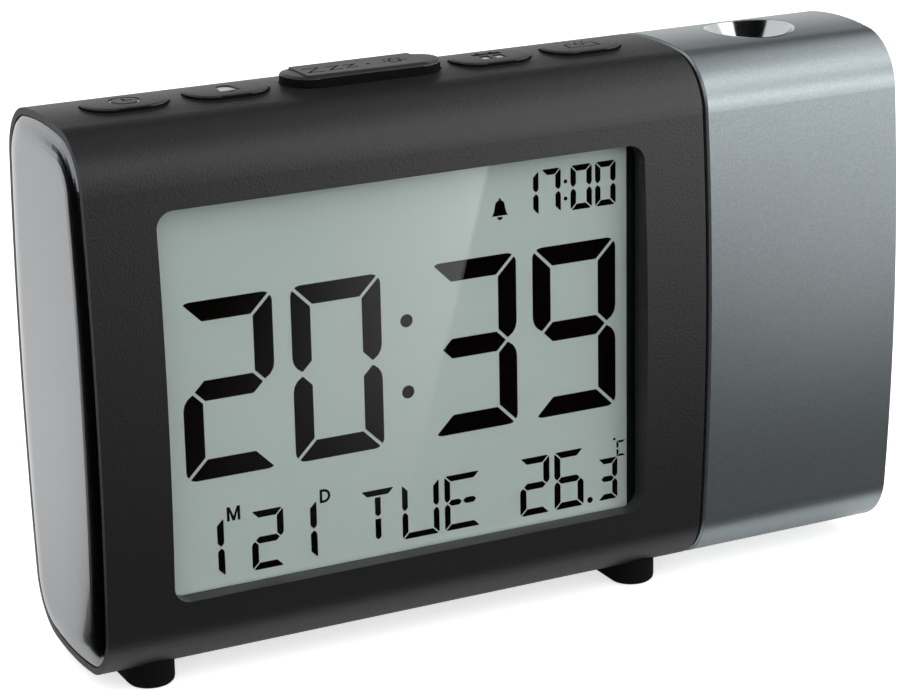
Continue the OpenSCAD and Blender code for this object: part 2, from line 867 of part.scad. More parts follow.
module battery_cells() {
    nub = 0.8;
    nub_r = 1.9;
    color("#b08a3c")
    for (s = [-1, 1]) {
        x0 = bay_x - s * bay_l / 2 + s * (contact_t + 0.05);
        translate([x0, cell_y, axis_z + bay_z + s * cell_pitch / 2]) rotate([0, s * 90, 0]) {
            cylinder(r = nub_r, h = cell_l, $fn = 32);
            translate([0, 0, nub]) cylinder(r = cell_r, h = cell_l - nub, $fn = 48);
        }
    }
}

// Round wire wound on a cone from r0 to r1
module coil(r0, r1, h, turns, wire_r) {
    sides = 8;
    steps = 12 * turns;
    ring = [for (i = [0:steps], j = [0:sides - 1])
        let (t = i / steps, a = 360 * turns * t, r = r0 + (r1 - r0) * t, b = 360 * j / sides)
        [(r + wire_r * cos(b)) * cos(a), (r + wire_r * cos(b)) * sin(a),
            wire_r + (h - 2 * wire_r) * t + wire_r * sin(b)]];
    walls = [for (i = [0:steps - 1], j = [0:sides - 1])
        let (k = (j + 1) % sides, p = i * sides, q = p + sides) [p + k, q + k, q + j, p + j]];
    first = [for (j = [0:sides - 1]) j];
    last = [for (j = [sides - 1:-1:0]) steps * sides + j];
    polyhedron(points = ring, faces = concat(walls, [first], [last]));
}

module battery_contacts() {
    end_x = bay_l / 2 - contact_t;
    half = contact_w / 2;
    wire_r = 0.3;
    coil_foot = 3.6;
    coil_tip = 1.9;
    color("#c9c9c4") {
        for (s = [-1, 1]) {
            z = bay_z - s * cell_pitch / 2;
            block([bay_x - end_x - contact_t, cell_y - half, z - half],
                [bay_x - end_x, cell_y + half, z + half]);
            translate([bay_x - s * end_x, cell_y, axis_z + z]) rotate([0, s * 90, 0])
                coil(coil_foot, coil_tip, spring_h, 4, wire_r);
        }
        block([bay_x + end_x, cell_y - half, bay_z - cell_pitch / 2 - half],
            [bay_x + end_x + contact_t, cell_y + half, bay_z + cell_pitch / 2 + half]);
    }
}

module sounder() {
    color("#1b1b1b")
    difference() {
        rod_y(sounder_x, sounder_y, sounder_y + sounder_h, sounder_z, sounder_r);
        rod_y(sounder_x, sounder_y + sounder_h - 1, sounder_y + sounder_h + 1, sounder_z, 1);
    }
}

// Thermistor bead on two legs behind the vents
module room_sensor() {
    color("#7a5230") {
        translate([sensor_x, sensor_y, axis_z + sensor_z]) sphere(r = bead_r, $fn = 32);
        for (s = [-1, 1])
            rod_y(sensor_x + s * bead_r / 2, board_back_y, sensor_y, sensor_z, bead_r / 4, 24);
    }
}

module power_socket() {
    color("#161616")
    difference() {
        slab(socket_x, socket_z, socket_w, socket_w, 0.5, socket_y - socket_l, socket_y);
        difference() {
            rod_y(socket_x, socket_y - socket_l + socket_end, body_d, socket_z, socket_r);
            rod_y(socket_x, 0, socket_y - 1, socket_z, socket_pin_r, 32);
        }
    }
}

module socket_board() {
    color("#2f6b3f")
    slab(socket_x, socket_z, socket_board_w, socket_board_h, 1, socket_board_y,
        socket_board_y + board_t);
}

// Straight leads from the main board to the bay, the sounder and the socket board
module inner_leads() {
    color("#a02020") {
        for (s = [-1, 1]) {
            rod_y(bay_x + s * 5 * lead_r, board_back_y, bay_floor_y - bay_wall, bay_z, lead_r, 24);
            rod_y(sounder_x + s * 4 * lead_r, board_back_y, sounder_y, sounder_z, lead_r, 24);
            rod_y(socket_x + s * 3 * lead_r, board_back_y, socket_board_y, socket_z, lead_r, 24);
        }
    }
}

// Two rubber bars with a rounded lower edge, seated in pockets under the sleeve
module feet() {
    edge = 0.9;
    foot_root = 3;
    color("#101010")
    for (s = [-1, 1])
        difference() {
            hull() {
                foot_pill(mid_x + s * foot_pitch, foot_w - 0.04, foot_l - 0.04, edge,
                    foot_h + foot_root);
                for (a = [0, 30, 60])
                    foot_pill(mid_x + s * foot_pitch, foot_w - 2 * edge * (1 - cos(a)),
                        foot_l - 2 * edge * (1 - cos(a)), edge * (1 - sin(a)), edge);
                foot_pill(mid_x + s * foot_pitch, foot_w - 2 * edge, foot_l - 2 * edge, 0, edge);
            }
            bar(left_x, body_x, wall / 2 - 0.02);
        }
}

// Swivel bearing
module stop_groove(x0, x1) {
    translate([x0, 0, axis_z]) rotate([90, 0, 90]) linear_extrude(x1 - x0) {
        difference() {
            circle(r = stop_r + pin_r + pin_fit, $fn = 96);
            circle(r = stop_r - pin_r - pin_fit, $fn = 96);
            for (s = [-1, 1])
                rotate(s * swing) translate([s > 0 ? 0 : -body_h, -body_h])
                    square([body_h, 2 * body_h]);
        }
        for (s = [-1, 1])
            rotate(s * swing) translate([0, -stop_r]) circle(r = pin_r + pin_fit, $fn = 48);
    }
}

module bulkhead() {
    color("#1e1e20")
    difference() {
        bar(plate_x, body_x, wall + fit);
        rod_x(plate_x - 1, body_x + 1, 0, 0, spindle_r + run_fit, 96);
        stop_groove(body_x - groove_d, body_x + 1);
        translate([body_x, 0, 0]) at_body_bosses() rotate([0, -90, 0]) screw_hole(plate_t + 1);
    }
}

module friction_washer() {
    color("#d8d4c4")
    difference() {
        rod_x(body_x + 0.05, head_x - 0.05, 0, 0, washer_r, 96);
        rod_x(body_x, head_x, 0, 0, spindle_r + way_fit, 96);
    }
}

// Coned spring washer that presses the head against the friction washer
module spring_washer() {
    color("#b4b4b0")
    translate([ring_x + ring_t + 0.05, 0, axis_z]) rotate([0, 90, 0]) rotate_extrude($fn = 96)
        translate([spindle_r + way_fit, 0])
            polygon([[0, 0], [0, spring_sheet], [spring_w, spring_t],
                [spring_w, spring_t - spring_sheet]]);
}

module swivel_header() {
    color("#e8e2d0")
    block([header_x, board_back_y, -header_w / 2], [header_x + header_l, header_y, header_w / 2]);
}

// Four leads along the swivel axis, through the hollow spindle
module swivel_leads() {
    color("#303a80")
    for (sy = [-1, 1], sz = [-1, 1])
        rod_x(header_x + header_l, head_board_x - 0.1, sy * (swivel_lead_r + 0.15),
            sz * (swivel_lead_r + 0.15), swivel_lead_r, 24);
}

module head_hub() {
    color("#1e1e20")
    difference() {
        union() {
            bar(head_x, head_x + hub_t, wall + fit);
            rod_x(spindle_x, head_x + hub_t / 2, 0, 0, spindle_r, 96);
            rod_x(body_x - groove_d + 0.3, head_x + hub_t / 2, 0, -stop_r, pin_r);
        }
        rod_x(spindle_x - 1, head_x + hub_t + 1, 0, 0, cable_way_r, 96);
        difference() {
            rod_x(ring_x - 0.05, ring_x + ring_t + 0.05, 0, 0, spindle_r + 1, 96);
            rod_x(ring_x - 1, ring_x + ring_t + 1, 0, 0, groove_r, 96);
        }
        translate([head_x, 0, 0]) {
            at_head_bosses() rotate([0, 90, 0]) screw_hole(hub_t + 1);
            at_cheek_screws() rotate([0, 90, 0]) screw_hole(hub_t + 1);
        }
    }
}

// Open ring snapped into the groove of the spindle
module retaining_ring() {
    color("#c4c4c6")
    difference() {
        rod_x(ring_x, ring_x + ring_t, 0, 0, ring_r, 96);
        rod_x(ring_x - 1, ring_x + ring_t + 1, 0, 0, groove_r + 0.03, 96);
        block([ring_x - 1, -2, 0], [ring_x + ring_t + 1, 2, ring_r + 1]);
    }
}

module hub_screws() {
    color("#4a4a4c")
    translate([head_x, 0, 0]) {
        at_head_bosses() rotate([0, 90, 0]) screw(hub_screw_l);
        at_cheek_screws() rotate([0, 90, 0]) screw(hub_screw_l);
    }
}

// The metallic head: the same section, a small bevel at its left edge
module head_shell() {
    bevel = 0.35;
    reach = face_y(wheel_z, wall) - wheel_y;
    slot_h = 2 * sqrt(pow(wheel_r + 0.5, 2) - reach * reach) + 1;
    color("#8f979c")
    difference() {
        union() {
            hull() {
                for (e = [[0, bevel], [bevel, 0.03]])
                    translate([head_x + e[0], 0, axis_z]) rotate([90, 0, 90])
                        linear_extrude(0.01) section(e[1]);
            }
            bar(head_x + bevel - 0.05, right_x, 0);
        }
        bar(head_x - 1, head_x + hub_t + 0.02, wall);
        difference() {
            bar(head_x + hub_t, right_x + 1, wall);
            translate([head_x + hub_t - 1, 0, 0]) at_head_bosses() rotate([0, 90, 0])
                cylinder(r = boss_r, h = boss_l + 1, $fn = 48);
        }
        translate([head_x, 0, 0]) at_head_bosses() rotate([0, 90, 0])
            cylinder(r = pilot_r, h = hub_screw_l + 1, $fn = 32);
        bar(right_x - cap_seat, right_x + 1, rim_t);
        rod_z(head_mid_x, 0, crown_in - 3, body_h, funnel_r + 0.03, 96);
        block([wheel_x - wheel_gap, back_y, wheel_z - slot_h / 2],
            [wheel_x + wheel_w + wheel_gap, body_d, wheel_z + slot_h / 2]);
    }
}

// Bright funnel round the projection lens, its mouth cut to the crown
module funnel() {
    color("#d9dbdd")
    difference() {
        union() {
            intersection() {
                rod_z(head_mid_x, 0, funnel_low, body_h / 2, funnel_r, 96);
                bar(head_x, right_x, 0.05);
            }
            intersection() {
                rod_z(head_mid_x, 0, funnel_low, body_h / 2, funnel_r + funnel_flange, 96);
                bar(head_x, right_x, wall + 0.02);
            }
        }
        translate([head_mid_x, 0, axis_z + funnel_low])
            cylinder(r1 = throat_r, r2 = funnel_r - funnel_edge, h = funnel_depth + 0.01, $fn = 96);
        rod_z(head_mid_x, 0, funnel_low - 1, funnel_low + 0.01, throat_r, 96);
    }
}

// Tube of the optical train on two cheeks that stand on the hub
module lamp_housing() {
    color("#232326")
    difference() {
        union() {
            rod_z(head_mid_x, 0, lamp_low, lamp_top, lamp_r, 64);
            for (s = [-1, 1])
                block([head_x + hub_t, s * (cheek_y + cheek_t / 2) - cheek_t / 2, cheek_low],
                    [head_mid_x, s * (cheek_y + cheek_t / 2) + cheek_t / 2, cheek_high]);
            for (x = [left_ear_x, right_ear_x])
                block([x, lamp_r / 2, wheel_z - ear_h / 2],
                    [x + ear_t, wheel_y + ear_out, wheel_z + ear_h / 2]);
        }
        rod_z(head_mid_x, 0, slide_z, lamp_top + 1, barrel_r + bore_fit, 96);
        rod_z(head_mid_x, 0, lamp_low - 1, 0, barrel_r + bore_fit, 96);
        rod_z(head_mid_x, 0, -1, slide_z + 1, seat_r, 64);
        block([head_mid_x - rack_w / 2 - rack_gap, lamp_r / 2, wheel_z - rack_l / 2 - focus_travel - 0.5],
            [head_mid_x + rack_w / 2 + rack_gap, body_d / 2, lamp_top + 1]);
        rod_x(left_ear_x - 1, left_ear_x + ear_t + 1, wheel_y, wheel_z, pin_hole_r + 0.01);
        rod_x(right_ear_x - 1, right_ear_x + ear_t + 1, wheel_y, wheel_z, wheel_hub_r + 0.1);
        block([right_ear_x - 1, wheel_y, wheel_z - wheel_hub_r - 0.1],
            [right_ear_x + ear_t + 1, body_d, wheel_z + wheel_hub_r + 0.1]);
        translate([head_x + hub_t - 1, 0, 0]) at_cheek_screws() rotate([0, 90, 0])
            cylinder(r = pilot_r, h = hub_screw_l - hub_t + 2, $fn = 32);
    }
}

// Barrel with its rack; the tooth spaces fit the pinion at the middle of the travel
module lens_barrel() {
    pitch = PI * gear_module;
    teeth = floor(rack_l / pitch);
    color("#1a1a1c")
    difference() {
        union() {
            rod_z(head_mid_x, 0, barrel_low, barrel_top, barrel_r, 96);
            block([head_mid_x - rack_w / 2, 3.8, wheel_z - rack_l / 2],
                [head_mid_x + rack_w / 2, rack_y - tooth_down, wheel_z + rack_l / 2]);
            for (i = [0:teeth - 1])
                translate([head_mid_x - rack_w / 2, rack_y, axis_z + wheel_z + (i - (teeth - 1) / 2) * pitch])
                    rotate([90, 0, 90]) linear_extrude(rack_w)
                        polygon([[-tooth_down - 0.1, -0.34 * pitch], [-tooth_down - 0.1, 0.34 * pitch],
                            [tooth_up, 0.1 * pitch], [tooth_up, -0.1 * pitch]]);
        }
        rod_z(head_mid_x, 0, barrel_low - 1, barrel_top + 1, barrel_r - barrel_wall, 64);
        rod_z(head_mid_x, 0, barrel_top - lens_seat, barrel_top + 1, barrel_r - barrel_wall / 2, 64);
    }
}

// Lens with one flat side and a domed side to the sky
module projection_lens() {
    edge_t = 1;
    rim = barrel_r - barrel_wall / 2 - 0.05;
    drop = sqrt(dome_r * dome_r - rim * rim);
    color("#b9c4d6", 0.5)
    intersection() {
        rod_z(head_mid_x, 0, barrel_top - lens_seat, barrel_top + 1, rim, 64);
        translate([head_mid_x, 0, axis_z + barrel_top - lens_seat + edge_t - drop])
            sphere(r = dome_r, $fn = 96);
    }
}

// Thumb wheel, hub and pinion in one piece
module focus_wheel() {
    ribs = 30;
    rib_d = 0.5;
    tooth_w = 0.52 * gear_module;
    tip_w = 0.2 * gear_module;
    root_r = pitch_r - 0.4 * gear_module;
    color("#1a1a1c")
    difference() {
        union() {
            rod_x(head_mid_x - rack_w / 2 - rack_gap, wheel_x + 0.5, wheel_y, wheel_z, wheel_hub_r - 0.2);
            rod_x(right_ear_x - 0.3, wheel_x + 0.5, wheel_y, wheel_z, wheel_hub_r);
            translate([head_mid_x - rack_w / 2 - rack_gap, wheel_y, axis_z + wheel_z])
                rotate([90, 0, 90]) linear_extrude(rack_w + 0.5) for (i = [0:pinion_teeth - 1])
                    rotate((i + 0.5) * 360 / pinion_teeth)
                        polygon([[0, -tooth_w], [root_r, -tooth_w], [pitch_r + tooth_up, -tip_w],
                            [pitch_r + tooth_up, tip_w], [root_r, tooth_w], [0, tooth_w]]);
            translate([wheel_x, wheel_y, axis_z + wheel_z]) rotate([90, 0, 90])
                linear_extrude(wheel_w) polygon([for (i = [0:2 * ribs - 1])
                    let (r = i % 2 == 0 ? wheel_r : wheel_r - rib_d, a = 180 * i / ribs)
                        r * [cos(a), sin(a)]]);
        }
        rod_x(head_mid_x - rack_w, wheel_x + wheel_w + 1, wheel_y, wheel_z, pin_hole_r + run_fit);
    }
}

module focus_pin() {
    color("#c4c4c6") rod_x(left_ear_x, wheel_x + wheel_w + 0.4, wheel_y, wheel_z, pin_hole_r);
}

module projection_slide() {
    half = slide_w / 2;
    color("#39424a") block([head_mid_x - half, -half, slide_z], [head_mid_x + half, half, slide_z + slide_t]);
}

// Lens with its domed side to the lamp
module condenser_lens() {
    edge_t = 1.2;
    lens_l = 4;
    rim = barrel_r - 0.02;
    drop = sqrt(dome_r * dome_r - rim * rim);
    color("#cfd6dd", 0.5)
    intersection() {
        rod_z(head_mid_x, 0, -lens_l, 0, rim, 64);
        translate([head_mid_x, 0, axis_z - edge_t + drop]) sphere(r = dome_r, $fn = 96);
    }
}

module lamp_board() {
    color("#dfe3df") translate([head_mid_x, 0, axis_z + lamp_low - board_t])
        linear_extrude(board_t) rounded(lamp_board_w, lamp_board_w, 1);
}

module lamp_led() {
    base_r = 2.5;
    base_t = 1;
    bulb_r = 2;
    color("#f0eedc") {
        rod_z(head_mid_x, 0, lamp_low, lamp_low + base_t, base_r, 48);
        intersection() {
            rod_z(head_mid_x, 0, lamp_low + base_t / 2, lamp_low + 2 * bulb_r, bulb_r, 48);
            translate([head_mid_x, 0, axis_z + lamp_low + base_t]) sphere(r = bulb_r, $fn = 48);
        }
    }
}

module head_board() {
    half = cheek_y - 0.2;
    color("#2f6b3f") block([head_board_x, -half, head_board_low],
        [head_board_x + head_board_t, half, head_board_high]);
}

sleeve();
left_end_cap();
window_lens();
lcd_panel();
lcd_frame();
light_guide();
backlight_leds();
contact_strips();
main_board();
controller_chip();
key_board();
key_switches();
board_screws();
case_screws();
time_button();
alarm_button();
snooze_button();
date_button();
projector_button();
back_cover();
battery_door();
battery_cells();
battery_contacts();
sounder();
room_sensor();
power_socket();
socket_board();
inner_leads();
feet();
bulkhead();
friction_washer();
spring_washer();
swivel_header();
swivel_leads();
head_hub();
retaining_ring();
hub_screws();
head_shell();
right_end_cap();
funnel();
lamp_housing();
lens_barrel();
projection_lens();
focus_wheel();
focus_pin();
projection_slide();
condenser_lens();
lamp_board();
lamp_led();
head_board();
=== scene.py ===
"""Finishes, display characters and key symbols of a projection alarm clock.

The clock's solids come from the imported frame. Its sizes are in millimetres in that same frame,
with heights from the table, and are turned to metres where a mesh is made. The studio round
the clock is set out in metres.
"""

import logging
import math
from dataclasses import dataclass
from enum import Enum
from functools import cache
from typing import Callable, Iterable

import bmesh
import bpy
from mathutils import Matrix, Vector


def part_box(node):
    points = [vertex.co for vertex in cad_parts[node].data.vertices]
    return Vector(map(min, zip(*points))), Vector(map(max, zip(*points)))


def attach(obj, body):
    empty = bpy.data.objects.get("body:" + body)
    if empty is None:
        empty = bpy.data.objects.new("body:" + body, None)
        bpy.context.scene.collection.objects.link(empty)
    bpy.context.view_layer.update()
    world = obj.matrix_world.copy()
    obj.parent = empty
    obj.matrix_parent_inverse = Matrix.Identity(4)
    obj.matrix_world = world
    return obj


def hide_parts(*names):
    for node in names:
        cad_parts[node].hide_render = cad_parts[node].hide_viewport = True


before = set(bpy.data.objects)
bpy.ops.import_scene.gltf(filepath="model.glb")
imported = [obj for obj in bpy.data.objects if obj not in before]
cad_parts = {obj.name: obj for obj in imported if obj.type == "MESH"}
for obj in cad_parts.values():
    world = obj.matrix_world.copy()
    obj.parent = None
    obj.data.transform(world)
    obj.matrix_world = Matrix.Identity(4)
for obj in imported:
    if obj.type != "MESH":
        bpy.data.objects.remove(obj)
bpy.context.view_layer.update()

LOG = logging.getLogger("alarm_clock")
MM = 0.001
WHITE = (1.0, 1.0, 1.0, 1.0)
# Height of the sleeve's middle, and how far along the sleeve the window and the keys centre.
AXIS = 45.4
ROW_MIDDLE = -18.35

Colour = tuple[float, float, float, float]
Point = tuple[float, float]
Outline = list[Point]
Spot = tuple[float, float, float]
Place = Callable[[float, float, float], Vector]
Tree = bpy.types.NodeTree
Socket = bpy.types.NodeSocket
Piece = bpy.types.Object
BMesh = bmesh.types.BMesh


def linear(hex_colour: str) -> Colour:
    """Turns an sRGB colour to the linear values that shaders take.

    Args:
        hex_colour: the colour as "#rrggbb".

    Returns:
        Linear red, green and blue, and an alpha of 1.
    """
    parts = [int(hex_colour[i:i + 2], 16) / 255 for i in (1, 3, 5)]
    red, green, blue = (
        c / 12.92 if c <= 0.04045 else ((c + 0.055) / 1.055) ** 2.4 for c in parts
    )
    return red, green, blue, 1.0


# ---- shader nodes


def add_node(
    tree: Tree, kind: str, inputs: dict | None = None, **settings: object
) -> bpy.types.Node:
    """Adds one shader node with its settings and links.

    Args:
        tree: the node tree that takes the node.
        kind: Blender's type name without "ShaderNode".
        inputs: socket name or number to a constant, or to the output socket that feeds it.
        **settings: the node's own properties.

    Returns:
        The new node.
    """
    node = tree.nodes.new("ShaderNode" + kind)
    for name, value in settings.items():
        setattr(node, name, value)
    for socket, value in (inputs or {}).items():
        if isinstance(value, Socket):
            tree.links.new(value, node.inputs[socket])
        else:
            node.inputs[socket].default_value = value
    return node


def object_space(tree: Tree) -> Socket:
    """Returns the coordinates in metres, the same for every piece of the clock."""
    return add_node(tree, "TexCoord").outputs["Object"]


def noise(tree: Tree, size_mm: float, **inputs: Socket | float) -> Socket:
    """Returns noise whose blotches have a real size, with any further inputs."""
    place = inputs.pop("Vector", None) or object_space(tree)
    return add_node(tree, "TexNoise", {
        "Vector": place, "Scale": 1 / (size_mm * MM), **inputs,
    }).outputs[0]


def remap(tree: Tree, value: Socket, source: Point, target: Point) -> Socket:
    """Maps one stretch of values to another and holds the rest at its ends."""
    return add_node(tree, "MapRange", {
        "Value": value, "From Min": source[0], "From Max": source[1],
        "To Min": target[0], "To Max": target[1],
    }).outputs[0]


def maths(tree: Tree, operation: str, first: Socket, second: Socket | float) -> Socket:
    """Returns what one operation makes of two values."""
    return add_node(tree, "Math", {0: first, 1: second}, operation=operation).outputs[0]


def around(value: float, spread: float) -> Point:
    """Returns the ends of a spread, which is a share of the value in its middle."""
    return value * (1 - spread), value * (1 + spread)


def shades(tree: Tree, factor: Socket, colour: str, ends: Point) -> Socket:
    """Returns a colour that runs between two multiples of itself."""
    low, high = (tuple(min(1.0, c * k) for c in linear(colour)[:3]) + (1.0,) for k in ends)
    return add_node(tree, "Mix", {0: factor, 6: low, 7: high}, data_type="RGBA").outputs[2]


def relief(tree: Tree, height: Socket, depth_mm: float) -> Socket:
    """Returns the normals of a pattern of a real depth."""
    return add_node(tree, "Bump", {
        "Height": height, "Strength": 1.0, "Distance": depth_mm * MM,
    }).outputs["Normal"]


def glow(tree: Tree, strength: Socket) -> Socket:
    """Returns white light of a given strength."""
    return add_node(tree, "Emission", {0: WHITE, 1: strength}).outputs[0]


def depth_ramp(tree: Tree, near_y: float, far_y: float, level: float) -> Socket:
    """Returns a value that runs from 0 at one depth before the clock to a level at another."""
    parts = add_node(tree, "SeparateXYZ", {0: object_space(tree)})
    return remap(tree, parts.outputs[1], (near_y, far_y), (0.0, level))


def seen_directly(tree: Tree) -> Socket:
    """Returns 1 for the camera's rays, and for those that gloss or clear plastic sends on."""
    path = add_node(tree, "LightPath").outputs
    first = maths(tree, "MAXIMUM", path["Is Camera Ray"], path["Is Glossy Ray"])
    return maths(tree, "MAXIMUM", first, path["Is Transmission Ray"])


# ---- kinds of finish


@dataclass(frozen=True)
class Finish:
    """A real material and the way its surface was made."""

    name: str

    def shade(self, tree: Tree) -> Socket:
        """Builds the surface in a node tree and returns its shader output."""
        raise NotImplementedError


@cache
def material_of(finish: Finish) -> bpy.types.Material:
    """Makes a finish's material once.

    Args:
        finish: the finish to make.

    Returns:
        The material, the same one for equal finishes.
    """
    material = bpy.data.materials.new(finish.name)
    material.use_nodes = True
    tree = material.node_tree
    tree.nodes.clear()
    add_node(tree, "OutputMaterial", {"Surface": finish.shade(tree)})
    return material


@dataclass(frozen=True)
class MouldedPlastic(Finish):
    """Injection moulded plastic. Its tint and sheen follow the middle of the grain's noise."""

    colour: str
    roughness: float = 0.5
    ior: float = 1.54
    specular: float = 0.5
    grain_mm: float = 0.3
    grain_depth_mm: float = 0.004
    grain_rough: float = 0.6
    mottle: float = 0.1
    sheen_spread: float = 0.07
    noise_middle: Point = (0.3, 0.7)

    def shade(self, tree: Tree) -> Socket:
        """Plastic in one colour, with the mould's grain as bump and as a faint mottle."""
        grain = noise(tree, self.grain_mm, Roughness=self.grain_rough)
        tint = remap(tree, grain, self.noise_middle, (0.0, 1.0))
        ends = around(self.roughness, self.sheen_spread)
        return add_node(tree, "BsdfPrincipled", {
            "Base Color": shades(tree, tint, self.colour, around(1, self.mottle)),
            "Roughness": remap(tree, grain, self.noise_middle, ends),
            "IOR": self.ior, "Specular IOR Level": self.specular,
            "Normal": relief(tree, grain, self.grain_depth_mm),
        }).outputs[0]


@dataclass(frozen=True)
class MetallicLacquer(Finish):
    """Metallic lacquer sprayed on ABS: flakes of aluminium that lie almost flat."""

    colour: str
    metallic: float
    roughness: float
    flake_spread: float
    flake_mm: float = 0.22
    flake_tilt_mm: float = 0.006
    coat: float = 0.0
    coat_roughness: float = 0.1

    def shade(self, tree: Tree) -> Socket:
        """Metallic base whose cells differ in brightness and tilt, under a clear coat."""
        flakes = add_node(tree, "TexVoronoi", {
            "Vector": object_space(tree), "Scale": 1 / (self.flake_mm * MM),
        })
        level = add_node(tree, "SeparateColor", {0: flakes.outputs["Color"]}).outputs
        return add_node(tree, "BsdfPrincipled", {
            "Base Color": shades(tree, level[0], self.colour, around(1, self.flake_spread)),
            "Metallic": self.metallic, "Roughness": self.roughness,
            "Coat Weight": self.coat, "Coat Roughness": self.coat_roughness,
            "Normal": relief(tree, level[1], self.flake_tilt_mm),
        }).outputs[0]


@dataclass(frozen=True)
class Metal(Finish):
    """A metal or plated surface with the fine lines that rolling or turning leaves."""

    colour: str
    roughness: float = 0.3
    line_mm: float = 0.12
    stretch: float = 6.0
    spread: float = 0.05
    sheen_spread: float = 0.2

    def shade(self, tree: Tree) -> Socket:
        """Full metal whose roughness and colour vary along stretched noise."""
        stretch = add_node(tree, "Mapping", {
            "Vector": object_space(tree), "Scale": (1.0, self.stretch, 1.0),
        })
        lines = noise(tree, self.line_mm, Vector=stretch.outputs[0], Detail=1.0)
        sheen = around(self.roughness, self.sheen_spread)
        return add_node(tree, "BsdfPrincipled", {
            "Base Color": shades(tree, lines, self.colour, around(1, self.spread)),
            "Metallic": 1.0, "Roughness": remap(tree, lines, (0.0, 1.0), sheen),
        }).outputs[0]


@dataclass(frozen=True)
class ClearPlastic(Finish):
    """Polished clear acrylic, cast or moulded against a mirror."""

    colour: str = "#fafcfb"
    ior: float = 1.49
    roughness: float = 0.0
    ripple_mm: float = 9.0
    ripple_depth_mm: float = 0.001

    def shade(self, tree: Tree) -> Socket:
        """Glass that lets the lamps' light reach what lies behind it."""
        ripple = noise(tree, self.ripple_mm)
        clear = add_node(tree, "BsdfPrincipled", {
            "Base Color": linear(self.colour), "Transmission Weight": 1.0,
            "Roughness": self.roughness, "IOR": self.ior,
            "Normal": relief(tree, ripple, self.ripple_depth_mm),
        })
        path = add_node(tree, "LightPath")
        through = add_node(tree, "BsdfTransparent", {0: linear(self.colour)})
        return add_node(tree, "MixShader", {
            0: path.outputs["Is Shadow Ray"], 1: clear.outputs[0], 2: through.outputs[0],
        }).outputs[0]


@dataclass(frozen=True)
class DisplayCell(Finish):
    """Reflective liquid crystal cell: a satin polariser over a pearly reflector."""

    colour: str = "#ced9d6"
    pearl_mm: float = 0.25
    pearl_spread: float = 0.05
    roughness: float = 0.42
    ior: float = 1.5
    specular: float = 0.3

    def shade(self, tree: Tree) -> Socket:
        """Pale grey-green with the reflector's faint pearl grain."""
        pearl = noise(tree, self.pearl_mm, Detail=1.0)
        return add_node(tree, "BsdfPrincipled", {
            "Base Color": shades(tree, pearl, self.colour, around(1, self.pearl_spread)),
            "Roughness": self.roughness, "IOR": self.ior,
            "Specular IOR Level": self.specular,
        }).outputs[0]


@dataclass(frozen=True)
class CircuitBoard(Finish):
    """Glass fibre board under green solder mask, with copper tracks just under it."""

    mask: tuple[str, str] = ("#1d5a33", "#1f6338")
    over_track: str = "#2f8450"
    field_mm: float = 3.6
    track_share: float = 0.06
    track_depth_mm: float = 0.03
    roughness: float = 0.35
    ior: float = 1.5

    def shade(self, tree: Tree) -> Socket:
        """Solder mask that is paler where it runs over a track."""
        tracks = add_node(tree, "TexBrick", {
            "Vector": object_space(tree), "Color1": linear(self.mask[0]),
            "Color2": linear(self.mask[1]), "Mortar": linear(self.over_track),
            "Scale": 1 / (self.field_mm * MM), "Mortar Size": self.track_share,
        })
        return add_node(tree, "BsdfPrincipled", {
            "Base Color": tracks.outputs["Color"], "Roughness": self.roughness,
            "IOR": self.ior,
            "Normal": relief(tree, tracks.outputs["Fac"], self.track_depth_mm),
        }).outputs[0]


@dataclass(frozen=True)
class Backdrop(Finish):
    """Pale studio paper, white to the eye and in gloss, that keeps the clock's shadow."""

    colour: str = "#e6e6e6"
    fibre_mm: float = 3.0
    fibre_shade: float = 0.99
    in_view: float = 0.65
    in_gloss: float = 0.1

    def shade(self, tree: Tree) -> Socket:
        """Paper lit by the lamps, brought up to plain white where it is seen."""
        fibre = noise(tree, self.fibre_mm)
        tint = shades(tree, fibre, self.colour, (self.fibre_shade, 1.0))
        paper = add_node(tree, "BsdfDiffuse", {0: tint})
        path = add_node(tree, "LightPath")
        share = remap(tree, path.outputs["Is Camera Ray"], (0.0, 1.0),
                      (self.in_gloss, self.in_view))
        white = glow(tree, maths(tree, "MULTIPLY", seen_directly(tree), share))
        return add_node(tree, "AddShader", {0: paper.outputs[0], 1: white}).outputs[0]


@dataclass(frozen=True)
class DullCard(Finish):
    """Felt or matt paint on a board, which keeps light off one side."""

    colour: str = "#060606"

    def shade(self, tree: Tree) -> Socket:
        """One dull colour."""
        return add_node(tree, "BsdfDiffuse", {0: linear(self.colour)}).outputs[0]


@dataclass(frozen=True)
class GlowingGradedCard(Finish):
    """A card that glows from white to black, with one clean masked edge. Lengths in metres."""

    edge_at: Point = (0.0138, -0.0784)
    edge_way: Point = (-0.858, -0.513)
    fade: float = 0.055
    level: float = 1.2
    softness: float = 2.0
    near_y: float = -0.06
    far_y: float = -0.24

    def shade(self, tree: Tree) -> Socket:
        """Glows white beside the masked edge, fading across the card and towards the clock."""
        offset = add_node(tree, "VectorMath", {
            0: object_space(tree), 1: (*self.edge_at, 0.0),
        }, operation="SUBTRACT")
        across = add_node(tree, "VectorMath", {
            0: offset.outputs[0], 1: (*self.edge_way, 0.0),
        }, operation="DOT_PRODUCT").outputs["Value"]
        fade = remap(tree, across, (0.0, self.fade), (self.level, 0.0))
        softened = maths(tree, "POWER", fade, self.softness)
        masked = maths(tree, "MULTIPLY", softened, maths(tree, "GREATER_THAN", across, 0.0))
        depth = depth_ramp(tree, self.near_y, self.far_y, 1.0)
        return glow(tree, maths(tree, "MULTIPLY", masked, depth))


